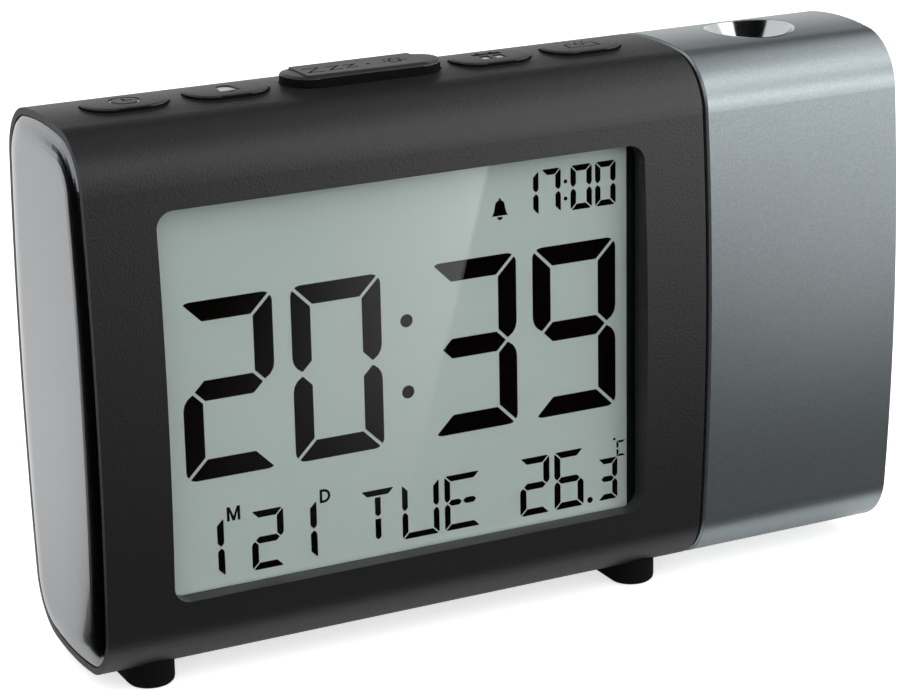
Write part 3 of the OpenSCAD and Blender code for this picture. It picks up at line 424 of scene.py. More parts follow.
@dataclass(frozen=True)
class GlowingBounceCard(Finish):
    """A sheet before the clock that glows in place of foil throwing the low lamp's light up at
    the head.
    """

    level: float = 1.7
    near_y: float = -0.07
    far_y: float = -0.30

    def shade(self, tree: Tree) -> Socket:
        """Glows dark beside the clock and brighter the further it lies from it."""
        return glow(tree, depth_ramp(tree, self.near_y, self.far_y, self.level))


# ---- finishes


# Eroded ABS: matt charcoal whose fine grain breaks up every highlight. The real grain is
# about 0.15 mm, drawn at more than twice that so that it shows.
CASE = MouldedPlastic(
    "charcoal_textured_abs", "#121214", roughness=0.45, specular=0.6, grain_mm=0.36,
    grain_depth_mm=0.045, mottle=0.12)
# The same ABS from a shallower texture, so the back looks smoother.
COVER = MouldedPlastic("charcoal_fine_abs", "#232325", grain_mm=0.35, grain_depth_mm=0.01)
# Keys moulded against a shallower texture too: a softer gloss than the case.
KEY = MouldedPlastic(
    "key_fine_abs", "#202022", roughness=0.42, grain_depth_mm=0.008, mottle=0.12)
# Flanks of the keys: painted shade, near-black and without gloss where the key's hole shades
# them, and never textured.
PAINTED_FLANK_SHADE = MouldedPlastic("painted_shade_key_flank", "#060606", roughness=0.8, specular=0.1)
# Black acetal and ABS of the inner parts, satin from a polished mould.
INNER = MouldedPlastic("black_acetal", "#1a1a1b", roughness=0.35, grain_mm=0.6, mottle=0.06)
# Natural nylon, moulded unpigmented: milky and waxy.
NYLON = MouldedPlastic(
    "natural_nylon", "#dcdcd2", roughness=0.4, grain_mm=0.8, grain_depth_mm=0.003,
    mottle=0.03)
# Thermoplastic rubber, moulded soft: dead black with a chalky bloom.
RUBBER = MouldedPlastic(
    "black_tpe_rubber", "#060606", roughness=0.8, ior=1.52, specular=0.1, grain_mm=0.4,
    grain_depth_mm=0.012, mottle=0.15)
# Metallic lacquer sprayed on the head: blue-grey, with flakes that glint one by one. Real
# ones are about 0.04 mm, drawn at 0.22 mm to show.
HEAD_LACQUER = MetallicLacquer(
    "blue_grey_metallic_lacquer", "#979fa2", flake_spread=0.07, metallic=0.9, roughness=0.34)
# Silver lacquer under gloss on the caps: a dark mirror. Its flakes are drawn coarser too, so
# that the gloss wavers a little.
CAP_LACQUER = MetallicLacquer(
    "silver_gloss_lacquer", "#787c80", flake_mm=0.3, flake_spread=0.02, flake_tilt_mm=0.0006,
    metallic=1.0, roughness=0.15, coat=0.6, coat_roughness=0.04)
# Aluminium evaporated on satin ABS under a grey lacquer: a mirror with soft edges.
MIRROR = Metal("vacuum_plated_abs", "#bfc1c3", roughness=0.13, line_mm=2.0, spread=0.01)
# Headed or turned steel under zinc: pale grey, with fine lines that blur the gloss.
STEEL = Metal("zinc_plated_steel", "#b9babb")
# Rolled spring steel under nickel: warmer and smoother, so the contacts glint.
SPRING = Metal("nickel_plated_spring_steel", "#cfcdc6", roughness=0.22)
# Acrylic cast between glass plates: a flat gloss over the display.
ACRYLIC = ClearPlastic("clear_cast_acrylic")
# Acrylic moulded against polished steel: free of haze, with a faint blue.
OPTIC = ClearPlastic("optical_acrylic", "#eef4fb")
# Crystal between two glass plates over a pearly foil: pale grey-green and satin.
CELL = DisplayCell("reflective_liquid_crystal_cell")
# Glass fibre pressed with copper and masked in green: paler lines where tracks run.
BOARD = CircuitBoard("green_masked_fibre_board")
# Crystal that is switched on: the polariser's near-black, a little warm.
SEGMENT = MouldedPlastic(
    "dark_crystal_segment", "#0c0706", roughness=0.45, specular=0.0, grain_mm=0.5,
    grain_depth_mm=0.0, mottle=0.05)
# Black ink printed on the inside of the glass: flat and even.
PRINT = MouldedPlastic(
    "black_screen_print", "#0a0a0b", roughness=0.4, specular=0.3, grain_mm=0.5,
    grain_depth_mm=0.0, mottle=0.05)
# White ink wiped into the engraved key symbols: chalky, a little thin in places.
SYMBOL = MouldedPlastic("white_fill_ink", "#acaeaf", roughness=0.6, grain_mm=0.4, mottle=0.06)
# Film printed with metallic ink and shrunk on the cells: a soft golden sheen.
WRAP = Metal("printed_cell_wrap", "#b28a3a", roughness=0.35, line_mm=0.8, spread=0.08)
# PVC drawn over wire: dark red and waxy.
LEAD = MouldedPlastic(
    "pvc_lead", "#6b1414", roughness=0.4, grain_mm=0.5, grain_depth_mm=0.003)
# Phosphor in silicone, cast over the chip: yellowish and smooth.
DIODE = MouldedPlastic(
    "phosphor_diode", "#efe6b8", roughness=0.3, grain_depth_mm=0.003, mottle=0.05)
# Silicone rubber in layers with and without carbon: dull and blotched.
ZEBRA = MouldedPlastic("conductive_silicone", "#5e3c48", roughness=0.55, mottle=0.3)
# Rolled paper without a seam: an even white that only the clock's shadow breaks.
PAPER = Backdrop("studio_paper")
# Pressed felt on a board: gloss shows it as a black shape.
FELT = DullCard("black_felt")
# Board in matt grey paint: a softer dark in what looks up.
GREY = DullCard("grey_card", "#8a8a8a")
# Card that glows, masked on one side: glare in the window with one hard and one soft side.
GLOWING_GRADED = GlowingGradedCard("glowing_graded_card")
# A glowing sheet on the paper in place of foil: a light patch in the lower half of the head.
GLOWING_BOUNCE = GlowingBounceCard("glowing_bounce_card")


# ---- mesh code


def add_object(name: str, data: bpy.types.ID) -> Piece:
    """Puts a mesh, lamp or camera in the scene."""
    item = bpy.data.objects.new(name, data)
    bpy.context.scene.collection.objects.link(item)
    return item


def add_mesh(name: str, bm: BMesh, *finishes: Finish) -> Piece:
    """Puts a filled bmesh in the scene and frees it.

    Args:
        name: the object's name.
        bm: the mesh, in metres.
        *finishes: what its material slots hold, in order.

    Returns:
        The new object.
    """
    mesh = bpy.data.meshes.new(name)
    bm.to_mesh(mesh)
    bm.free()
    for finish in finishes:
        mesh.materials.append(material_of(finish))
    return add_object(name, mesh)


def finish_mesh(name: str, bm: BMesh, finish: Finish, body: str) -> Piece:
    """Turns a filled bmesh into a piece that rides a body.

    Args:
        name: the piece's name.
        bm: the mesh, in metres.
        finish: what it is made of.
        body: the CAD body that it rides on.

    Returns:
        The new object.
    """
    bmesh.ops.recalc_face_normals(bm, faces=bm.faces)
    piece = add_mesh(name, bm, finish)
    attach(piece, body)
    LOG.info("%s: %d faces on %s", name, len(piece.data.polygons), body)
    return piece


def add_band(bm: BMesh, low: list, high: list) -> None:
    """Joins two loops of corners with a band of faces."""
    for corners in zip(low, low[1:] + low[:1], high[1:] + high[:1], high):
        bm.faces.new(corners)


@dataclass(frozen=True)
class Slab:
    """A layer between two heights over a surface, whose points place() turns to metres."""

    place: Place
    low: float
    high: float


def add_prism(bm: BMesh, outline: Iterable[Point], slab: Slab) -> None:
    """Adds a flat plate with a filled outline.

    Args:
        bm: the mesh that takes it.
        outline: its corners in turn, in the plane of the surface.
        slab: the layer that it fills.
    """
    under = [bm.verts.new(slab.place(u, v, slab.low)) for u, v in outline]
    top = [bm.verts.new(slab.place(u, v, slab.high)) for u, v in outline]
    bm.faces.new(top)
    bm.faces.new(under[::-1])
    add_band(bm, under, top)


def add_stroke(bm: BMesh, line: Outline, width: float, slab: Slab,
               closed: bool = False) -> None:
    """Adds a flat line of one width, with mitred joints.

    Args:
        bm: the mesh that takes it.
        line: the points of its middle.
        width: its width.
        slab: the layer that it fills.
        closed: True if its end meets its start.
    """
    count = len(line)
    sides: list[tuple[Point, Point]] = []
    for i, (x, y) in enumerate(line):
        before = line[i - 1] if i or closed else line[i]
        after = line[(i + 1) % count] if i < count - 1 or closed else line[i]
        first = Vector((x - before[0], y - before[1]))
        last = Vector((after[0] - x, after[1] - y))
        first = first.normalized() if first.length else last.normalized()
        last = last.normalized() if last.length else first
        mid = (first + last).normalized()
        # A sharp corner's mitre is held to twice the width of the line.
        across = Vector((-mid.y, mid.x)) * (width / 2 / max(0.5, mid.dot(last)))
        sides.append(((x + across.x, y + across.y), (x - across.x, y - across.y)))
    low, high = slab.low, slab.high
    rings = [
        [bm.verts.new(slab.place(*p, h)) for p, h in
         ((a, low), (b, low), (b, high), (a, high))]
        for a, b in sides
    ]
    pairs = list(zip(rings, rings[1:])) + ([(rings[-1], rings[0])] if closed else [])
    for one, two in pairs:
        add_band(bm, one, two)
    if not closed:
        bm.faces.new(rings[0][::-1])
        bm.faces.new(rings[-1])


def polar(turn: float) -> Point:
    """Cosine and sine of an angle in degrees."""
    return math.cos(math.radians(turn)), math.sin(math.radians(turn))


def arc(cx: float, cy: float, r: float, start: float, end: float, steps: int) -> Outline:
    """Points on an arc round (cx, cy) from one angle in degrees to another, one over steps."""
    ways = [polar(start + (end - start) * i / steps) for i in range(steps + 1)]
    return [(cx + r * c, cy + r * s) for c, s in ways]


def circle(cx: float, cy: float, r: float, steps: int = 28) -> Outline:
    """Points round a whole circle, the first not repeated."""
    return arc(cx, cy, r, 0, 360, steps)[:-1]


def block(left: float, right: float, low: float, high: float) -> Outline:
    """Corners of an upright rectangle."""
    return [(left, low), (right, low), (right, high), (left, high)]


# ---- sub-assemblies


Wear = tuple[tuple[Finish, tuple[str, ...]], ...]


@dataclass
class SubAssembly:
    """CAD nodes that belong together, and the finish that each takes."""

    wear: Wear = ()

    def dress(self) -> None:
        """Gives every node its finish."""
        for finish, nodes in self.wear:
            for node in nodes:
                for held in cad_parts[node].material_slots:
                    held.material = material_of(finish)
                LOG.info("%s finished in %s", node, finish.name)


@dataclass
class Case(SubAssembly):
    """The dark sleeve with its caps, feet, back cover and battery bay."""

    wear: Wear = (
        (CASE, ("sleeve",)),
        (COVER, ("back_cover", "battery_door")),
        (CAP_LACQUER, ("left_end_cap", "right_end_cap")),
        (RUBBER, ("feet",)),
        (WRAP, ("battery_cells",)),
        (SPRING, ("battery_contacts",)),
        (STEEL, ("case_screws",)),
        (INNER, ("power_socket", "sounder", "room_sensor")),
    )


@dataclass
class ProjectorHead(SubAssembly):
    """The metallic head with the funnel, the optical train and the focus wheel."""

    wear: Wear = (
        (HEAD_LACQUER, ("head_shell",)),
        (MIRROR, ("funnel",)),
        (OPTIC, ("projection_lens", "condenser_lens", "projection_slide")),
        (INNER, ("lens_barrel", "lamp_housing", "focus_wheel")),
        (DIODE, ("lamp_led",)),
        (STEEL, ("focus_pin",)),
    )


@dataclass
class Works(SubAssembly):
    """The swivel bearing, the boards, their screws and their leads."""

    wear: Wear = (
        (INNER, ("bulkhead", "head_hub", "controller_chip", "key_switches")),
        (NYLON, ("friction_washer", "swivel_header")),
        (SPRING, ("spring_washer", "retaining_ring")),
        (STEEL, ("board_screws", "hub_screws")),
        (BOARD, ("main_board", "key_board", "socket_board", "lamp_board", "head_board")),
        (LEAD, ("inner_leads", "swivel_leads")),
    )


# ---- display


class Bar(Enum):
    """The seven segments of a digit."""

    TOP = "a"
    HIGH_RIGHT = "b"
    LOW_RIGHT = "c"
    BOTTOM = "d"
    LOW_LEFT = "e"
    HIGH_LEFT = "f"
    MIDDLE = "g"


LIT = {
    "0": "abcdef", "1": "bc", "2": "abged", "3": "abgcd", "6": "afgedc", "7": "abc",
    "9": "abgfcd", "U": "bcdef", "C": "adef",
}


@dataclass(frozen=True)
class Row:
    """A line of characters of one height and one stroke."""

    low: float
    high: float
    thick: float
    gap: float
    round: float

    def write(self, *cells: tuple[str, float, float]) -> list[Outline]:
        """Lit segments of characters, each given with its left and right edge."""
        return [Digit(left, right, self).outline(Bar(name))
                for character, left, right in cells for name in LIT[character]]


@dataclass(frozen=True)
class Digit:
    """Seven mitred segments in a box, with rounded outer corners."""

    left: float
    right: float
    row: Row

    def flipped(self, points: Iterable[Point], across: bool, up: bool) -> Outline:
        """Mirrors points about the digit's middle, left to right and top to bottom if asked."""
        return [(self.left + self.right - x if across else x,
                 self.row.low + self.row.high - y if up else y) for x, y in points]

    def outline(self, bar: Bar) -> Outline:
        """Corners of one segment.

        Args:
            bar: which segment.

        Returns:
            Its corners in turn.
        """
        t, r, h = self.row.thick, self.row.round, self.row.gap / math.sqrt(2)
        x, z = self.right, self.row.high
        middle = (self.row.low + z) / 2
        # The mitre's line meets the rounded corner this many degrees off its diagonal.
        lean = math.degrees(math.acos(h / (r * math.sqrt(2))))
        if bar in (Bar.TOP, Bar.BOTTOM):
            right = [(x - t - h, z - t), *arc(x - r, z - r, r, 180 - lean - 45, 90, 5)]
            left = self.flipped(right, True, False)[::-1]
            return self.flipped(right + left, False, bar is Bar.BOTTOM)
        if bar is Bar.MIDDLE:
            tip, flat = t / 2 + h, t + h
            right = [(x - flat, middle + t / 2), (x - tip, middle), (x - flat, middle - t / 2)]
            return right + self.flipped(right, True, False)[::-1]
        # Beside the middle segment the outer corner is softened in shares of the stroke.
        foot = [
            (x, middle + h + 0.75 * t), (x - 0.06 * t, middle + h + 0.45 * t),
            (x - 0.22 * t, middle + h + 0.2 * t), (x - t / 2, middle + h),
            (x - t, middle + t / 2 + h),
        ]
        tall = [(x - t, z - t - h), *arc(x - r, z - r, r, lean - 45, 0, 5), *foot]
        return self.flipped(tall, bar in (Bar.LOW_LEFT, Bar.HIGH_LEFT),
                            bar in (Bar.LOW_LEFT, Bar.LOW_RIGHT))


@dataclass
class Display(SubAssembly):
    """Liquid crystal panel behind its clear lens, with the characters that it shows."""

    wear: Wear = (
        (ACRYLIC, ("window_lens",)),
        (CELL, ("lcd_panel",)),
        (INNER, ("lcd_frame",)),
        (NYLON, ("light_guide",)),
        (DIODE, ("backlight_leds",)),
        (ZEBRA, ("contact_strips",)),
    )
    panel_front: float = -12.5
    film: float = 0.03
    panel_w: float = 86.0
    panel_h: float = 65.8
    active_w: float = 79.4
    active_h: float = 61.6

    def place(self, u: float, v: float, w: float) -> Vector:
        """Place in metres of a point on the panel, w in front of it."""
        return Vector((u, self.panel_front - w, AXIS + v)) * MM

    def show(self, name: str, plates: list[Outline], strokes: Iterable[Outline] = (),
             width: float = 0.0, finish: Finish = SEGMENT) -> None:
        """Adds a group of characters as one piece.

        Args:
            name: the piece's name.
            plates: outlines of filled shapes on the panel.
            strokes: middles of closed lines.
            width: the width of those lines.
            finish: what they are made of.
        """
        bm, slab = bmesh.new(), Slab(self.place, 0.0, self.film)
        for plate in plates:
            add_prism(bm, plate, slab)
        for stroke in strokes:
            add_stroke(bm, stroke, width, slab, closed=True)
        finish_mesh(name, bm, finish, "base")

    def build_clock_digits(self) -> None:
        """The hours and minutes, and the two dots between them."""
        digits = Row(low=-12.95, high=15.2, thick=3.2, gap=0.5, round=1.7).write(
            ("2", -55.0, -40.0), ("0", -37.0, -22.0), ("3", -13.5, 1.45), ("9", 4.35, 19.3))
        dots = [circle(-17.7, 6.9, 1.05), circle(-17.7, -4.65, 1.05)]
        self.show("clock_digits", digits + dots)

    def build_alarm_time(self) -> None:
        """The alarm time in small digits."""
        digits = Row(low=20.5, high=27.7, thick=0.95, gap=0.2, round=0.5).write(
            ("1", 1.8, 5.6), ("7", 6.07, 9.55), ("0", 11.3, 15.1), ("0", 15.7, 19.4))
        dots = [circle(10.4, 25.3, 0.33, 14), circle(10.4, 22.55, 0.33, 14)]
        self.show("alarm_digits", digits + dots)

    def build_bell(self) -> None:
        """The bell that says the alarm is set."""
        x, top = -1.22, 24.1
        dome = arc(x, top - 1.1, 0.85, 180, 0, 12)
        bell = [
            (x - 1.45, 21.35), (x - 1.15, 21.75), (x - 0.95, 22.4), *dome,
            (x + 0.95, 22.4), (x + 1.15, 21.75), (x + 1.45, 21.35),
        ]
        clapper = arc(x, 21.15, 0.48, 180, 360, 8)
        knob = circle(x, top - 0.12, 0.2, 12)
        self.show("alarm_bell", [bell, clapper, knob])

    def build_date_row(self) -> None:
        """Month, day, weekday and temperature along the foot of the display."""
        low, thick, gap, corner = -29.1, 1.1, 0.22, 0.6
        self.show("date_digits", Row(low, -19.5, thick, gap, corner).write(
            ("1", -54.7, -49.4), ("2", -44.9, -39.5), ("1", -39.2, -33.9)))
        warmth = Row(low, -19.3, thick, gap, corner).write(("2", 1.7, 7.05), ("6", 7.95, 13.3))
        warmth += Row(-29.0, -21.9, 0.95, 0.2, 0.45).write(("3", 16.0, 19.6))
        warmth += Row(-21.9, -19.2, 0.38, 0.1, 0.12).write(("C", 19.45, 21.1))
        point, degree = circle(14.5, -28.5, 0.52, 16), circle(19.05, -18.85, 0.24, 12)
        self.show("temperature_digits", warmth + [point, degree])

    def build_weekday(self) -> None:
        """The weekday in sixteen-segment letters."""
        row = Row(low=-28.95, high=-19.75, thick=0.98, gap=0.22, round=0.5)
        half = row.thick / 2
        middle = (row.low + row.high) / 2
        stem_x = -23.45
        letters = [Digit(-26.4, -20.5, row).outline(Bar.TOP)]
        for a, b in ((row.high - row.thick - 0.2, middle + 0.15),
                     (middle - 0.15, row.low + 0.9)):
            letters.append([
                (stem_x - half, a - 0.1), (stem_x + half, a - 0.1), (stem_x + half, b + 0.4),
                (stem_x, b), (stem_x - half, b + 0.4),
            ])
        letters += row.write(("U", -19.25, -12.8))
        last = Digit(-11.8, -5.5, row)
        letters += [last.outline(bar) for bar in
                    (Bar.TOP, Bar.BOTTOM, Bar.LOW_LEFT, Bar.HIGH_LEFT)]
        for a, b in ((-11.1, -8.75), (-8.55, -6.2)):
            letters.append([
                (a, middle), (a + half, middle + half), (b - half, middle + half),
                (b, middle), (b - half, middle - half), (a + half, middle - half),
            ])
        self.show("weekday_letters", letters)

    def build_unit_marks(self) -> None:
        """The small M and D that tell the month from the day."""
        low, high = -20.3, -18.0
        left, right, leg = -48.8, -46.6, 0.5
        centre, inner = (left + right) / 2, leg - 0.06
        em = [
            (left, low), (left, high), (left + leg, high), (centre, low + 0.75),
            (right - leg, high), (right, high), (right, low), (right - inner, low),
            (right - inner, high - 0.8), (centre + 0.2, low), (centre - 0.2, low),
            (left + inner, high - 0.8), (left + inner, low),
        ]
        dee = [(-33.08, -20.0), (-33.08, -18.2), *arc(-32.6, -19.1, 0.9, 90, -90, 12)]
        self.show("unit_marks", [em], [dee], 0.42)

    def build_border(self) -> None:
        """The dark printed border round the active area."""
        wide = (self.panel_w - self.active_w) / 2
        tall = (self.panel_h - self.active_h) / 2
        left, right = ROW_MIDDLE - self.panel_w / 2, ROW_MIDDLE + self.panel_w / 2
        z = self.panel_h / 2
        self.show("display_border", [
            block(left, right, z - tall, z), block(left, right, -z, -z + tall),
            block(left, left + wide, -z + tall, z - tall),
            block(right - wide, right, -z + tall, z - tall),
        ], finish=PRINT)

    def build(self) -> None:
        """Makes every character and the border."""
        self.build_clock_digits()
        self.build_alarm_time()
        self.build_bell()
        self.build_date_row()
        self.build_weekday()
        self.build_unit_marks()
        self.build_border()


# ---- keys


# A cutter's face that looks down further than this makes the floor of an engraving.
FLOOR_NORMAL = -0.8
# A key's face that looks up less than this belongs to its flank, where shade is painted.
FLANK_NORMAL = 0.5
# Edges that turn further than this stay sharp.
SHARP_ANGLE = math.radians(32)


class Floor(Enum):
    """What covers the floor of an engraved symbol."""

    BARE = 0
    INKED = 1


@dataclass(frozen=True)
class Cut:
    """One engraved line or field of a key's symbol."""

    points: Outline
    floor: Floor = Floor.INKED
    width: float = 0.0
    closed: bool = False


@dataclass
class Key:
    """One key: a crowned pill with a soft edge, its flange, its stems and its symbol."""

    node: str
    name: str
    cuts: list[Cut]
    middle: float
    length: float
    width: float
    rise: float
    edge: float
    stems: tuple[float, ...] = (0.0,)
    panel: tuple[Point, ...] = ()
    panel_rise: float = 0.27
    panel_sink: float = 0.2
    crown_r: float = 58.4
    half_h: float = 43.2
    wall: float = 2.2
    flange_w: float = 0.8
    flange_t: float = 1.0
    flange_gap: float = 0.3
    stem_r: float = 1.6
    depth: float = 0.28
    end_steps: int = 16
    edge_turn: int = 15
    top_rings: int = 5
    top_strip: float = 0.3

    def crown_centre(self) -> float:
        """Height of the middle of the crown's arc over the table."""
        return AXIS + self.half_h - self.crown_r

    def place(self, u: float, v: float, w: float) -> Vector:
        """Place in metres of a point of the crowned top and a height over it."""
        radius = self.crown_r + self.rise
        height = self.crown_centre() + math.sqrt(radius ** 2 - v * v) + w
        return Vector((self.middle + u, v, height)) * MM

    def outline(self, inset: float) -> Outline:
        """Points round the pill, moved in by an inset."""
        r = self.width / 2 - inset
        x = (self.length - self.width) / 2
        return [*arc(x, 0, r, -90, 90, self.end_steps),
                *arc(-x, 0, r, 90, 270, self.end_steps)]

    def rings(self) -> list[tuple[float, float | None, float]]:
        """Levels of the shell from the flange up.

        Returns:
            For each ring its inset, its height over the table where it is flat, and its height
            over the crowned top where it follows that.
        """
        reach = self.width / 2 + self.flange_w
        ceiling = self.crown_centre() + math.sqrt((self.crown_r - self.wall) ** 2 - reach ** 2)
        top = ceiling - self.flange_gap
        levels: list[tuple[float, float | None, float]] = [
            (-self.flange_w, top - self.flange_t, 0.0), (-self.flange_w, top, 0.0),
            (0.0, top, 0.0),
        ]
        for turn in range(0, 91, self.edge_turn):
            c, s = polar(turn)
            levels.append((self.edge * (1 - c), None, -self.edge * (1 - s)))
        span = self.width / 2 - self.top_strip - self.edge
        for i in range(1, self.top_rings + 1):
            levels.append((self.edge + span * i / self.top_rings, None, 0.0))
        return levels

    def shell(self) -> BMesh:
        """Builds the closed shell of cap and flange."""
        bm = bmesh.new()
        loops = []
        for inset, flat, over in self.rings():
            loop = []
            for u, v in self.outline(inset):
                at = self.place(u, v, over)
                if flat is not None:
                    at.z = flat * MM
                loop.append(bm.verts.new(at))
            loops.append(loop)
        for low, high in zip(loops, loops[1:]):
            add_band(bm, low, high)
        bm.faces.new(loops[0][::-1])
        bm.faces.new(loops[-1])
        return bm

    def cutter(self) -> Piece:
        """Makes the solid that engraves the symbol.

        Returns:
            A loose object with the key's plastic on its walls and the ink on its inked floors.
        """
        bm, slab = bmesh.new(), Slab(self.place, -self.depth, self.depth)
        for cut in self.cuts:
            known = set(bm.faces)
            if cut.width:
                add_stroke(bm, cut.points, cut.width, slab, cut.closed)
            else:
                add_prism(bm, cut.points, slab)
            fresh = [face for face in bm.faces if face not in known]
            bmesh.ops.recalc_face_normals(bm, faces=fresh)
            for face in fresh:
                face.normal_update()
                floor = face.normal.z < FLOOR_NORMAL
                face.material_index = cut.floor.value if floor else 0
        return add_mesh("cutter", bm, KEY, SYMBOL)

    def engrave(self, piece: Piece) -> None:
        """Cuts the symbol into the key's top.

        Args:
            piece: the key.
        """
        tool = self.cutter()
        step = piece.modifiers.new("engraving", "BOOLEAN")
        step.operation, step.solver, step.object = "DIFFERENCE", "EXACT", tool
        step.use_self, step.material_mode = True, "TRANSFER"
        graph = bpy.context.evaluated_depsgraph_get()
        mesh = bpy.data.meshes.new_from_object(piece.evaluated_get(graph))
        piece.modifiers.clear()
        old, piece.data = piece.data, mesh
        bpy.data.meshes.remove(old)
        bpy.data.objects.remove(tool)

    def paint_flank_shade(self, piece: Piece) -> None:
        """Paints shade on the upright faces round the key, as a near-black finish of their own.

        Args:
            piece: the key.
        """
        piece.data.materials.append(material_of(PAINTED_FLANK_SHADE))
        last = len(piece.data.materials) - 1
        spine = (self.length - self.width) / 2
        rim = self.width / 2 - 0.1 * self.edge
        for face in piece.data.polygons:
            u, v = face.center.x / MM - self.middle, face.center.y / MM
            reach = math.hypot(max(abs(u) - spine, 0.0), v)
            if reach > rim and face.normal.z < FLANK_NORMAL:
                face.material_index = last

    def upright(self, u: float, v: float, w: float) -> Vector:
        """Place in metres of a point of a stem at a height over the table."""
        return Vector((self.middle + u, v, w)) * MM

    def build(self) -> None:
        """Makes the key with its symbol."""
        bm = self.shell()
        if self.panel:
            add_prism(bm, self.panel, Slab(self.place, -self.panel_sink, self.panel_rise))
        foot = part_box(self.node)[0][2] / MM
        seat = self.rings()[0][1]
        for x in self.stems:
            add_prism(bm, circle(x, 0.0, self.stem_r), Slab(self.upright, foot, seat))
        piece = finish_mesh(self.name, bm, KEY, self.node)
        self.engrave(piece)
        self.paint_flank_shade(piece)
        piece.data.set_sharp_from_angle(angle=SHARP_ANGLE)
        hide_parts(self.node)


@dataclass
class KeyRow:
    """Five keys on the crown, each with its engraved symbol."""

    inner_pitch: float = 22.4
    outer_pitch: float = 38.65
    small: Point = (13.6, 8.5)
    small_rise: float = 0.55
    small_edge: float = 0.22
    long: Point = (26.5, 9.0)
    long_rise: float = 1.55
    long_edge: float = 0.4
    long_stem: float = 7.0
    panel_left: float = 10.5
    panel_right: float = 9.8
    panel_half: float = 3.75
    panel_corner: float = 0.3

    def build(self) -> None:
        """Makes the five keys."""
        for node, name, offset, cuts in (
            ("time_button", "time_key", -self.outer_pitch, self.dial()),
            ("alarm_button", "alarm_key", -self.inner_pitch, self.bell()),
            ("date_button", "date_key", self.inner_pitch, self.calendar()),
            ("projector_button", "projector_key", self.outer_pitch, self.beam()),
        ):
            Key(node, name, cuts, ROW_MIDDLE + offset, *self.small, self.small_rise,
                self.small_edge).build()
        self.build_snooze()

    def dial(self) -> list[Cut]:
        """A clock face with two hands."""
        return [Cut(circle(0, 0, 2.2, 36), width=0.5, closed=True),
                Cut([(0.0, 1.25), (0.0, -0.15), (1.2, -0.15)], width=0.45)]

    def bell(self) -> list[Cut]:
        """A bell and its clapper."""
        dome = arc(0, 0.75, 1.25, 180, 0, 10)
        return [Cut([(-1.95, -1.75), (-1.5, -1.2), (-1.3, 0.6), *dome,
                     (1.3, 0.6), (1.5, -1.2), (1.95, -1.75)]),
                Cut(arc(0, -2.1, 0.5, 180, 360, 8))]

    def calendar(self) -> list[Cut]:
        """A page with its header, two rings and two fields."""
        cuts = [Cut(block(-2.5, 2.5, 0.6, 1.9), Floor.BARE)]
        for x in (-1.2, 1.2):
            cuts.append(Cut(block(x - 0.25, x + 0.25, 1.9, 2.6), Floor.BARE))
            cuts.append(Cut(block(x - 0.85, x + 0.85, -2.1, 0.1)))
        return cuts

    def beam(self) -> list[Cut]:
        """A projector with its lens and three rays."""
        line = 0.32
        case = [(-1.2, 0.7), (-2.5, 0.7), (-2.7, -1.7), (2.7, -1.7), (2.5, 0.7), (1.2, 0.7)]
        cuts = [Cut(case, Floor.BARE, line),
                Cut(circle(0, 0.3, 0.75, 20), Floor.BARE, 0.3, True)]
        for x, lean in ((-1.1, -0.55), (0.0, 0.0), (1.1, 0.55)):
            cuts.append(Cut([(x, 1.55), (x + lean, 2.3)], Floor.BARE, line))
        return cuts

    def panel(self) -> tuple[Point, ...]:
        """Points round the long key's flat panel, which has soft corners."""
        r = self.panel_corner
        x0, x1, y = r - self.panel_left, self.panel_right - r, self.panel_half - r
        return (*arc(x1, y, r, 0, 90, 4), *arc(x0, y, r, 90, 180, 4),
                *arc(x0, -y, r, 180, 270, 4), *arc(x1, -y, r, 270, 360, 4))

    def build_snooze(self) -> None:
        """The long key: three zeds, a dot and a lamp on its panel."""
        y, lamp_x, ray = -0.5, 5.6, 0.38
        cuts: list[Cut] = []
        for x, half in ((-8.1, 1.35), (-4.7, 1.1), (-1.9, 0.9)):
            cuts.append(Cut([(x - half, y + half), (x + half, y + half),
                             (x - half, y - half), (x + half, y - half)], width=0.42))
        cuts.append(Cut(circle(1.1, y, 0.32, 12)))
        cuts.append(Cut(circle(lamp_x, y, 0.95, 20), width=ray, closed=True))
        for turn in range(0, 181, 45):
            c, s = polar(turn)
            cuts.append(Cut([(lamp_x + r * c, y + r * s) for r in (1.4, 2.1)], width=ray))
        key = Key("snooze_button", "snooze_key", cuts, ROW_MIDDLE, *self.long,
                  self.long_rise, self.long_edge, (-self.long_stem, self.long_stem),
                  self.panel())
        key.depth += key.panel_rise
        key.build()


# ---- studio


@dataclass(frozen=True)
class Card:
    """A flat sheet of the studio that only gloss and clear plastic show."""

    name: str
    finish: Finish
    corners: tuple[Spot, ...]
    behind_clear: bool = True


@dataclass(frozen=True)
class SoftBox:
    """A lamp with an even face. Its azimuth goes from straight ahead towards the head."""

    name: str
    azimuth: float
    elevation: float
    size: Point
    radiance: float


def lying(height: float, *points: Point) -> tuple[Spot, ...]:
    """Corners of a sheet that lies level at a height."""
    return tuple((x, y, height) for x, y in points)


def standing(y: float, left: float, right: float, low: float, high: float) -> tuple[Spot, ...]:
    """Corners of a rectangular sheet that stands across the clock's depth."""
    return (left, y, low), (right, y, low), (right, y, high), (left, y, high)


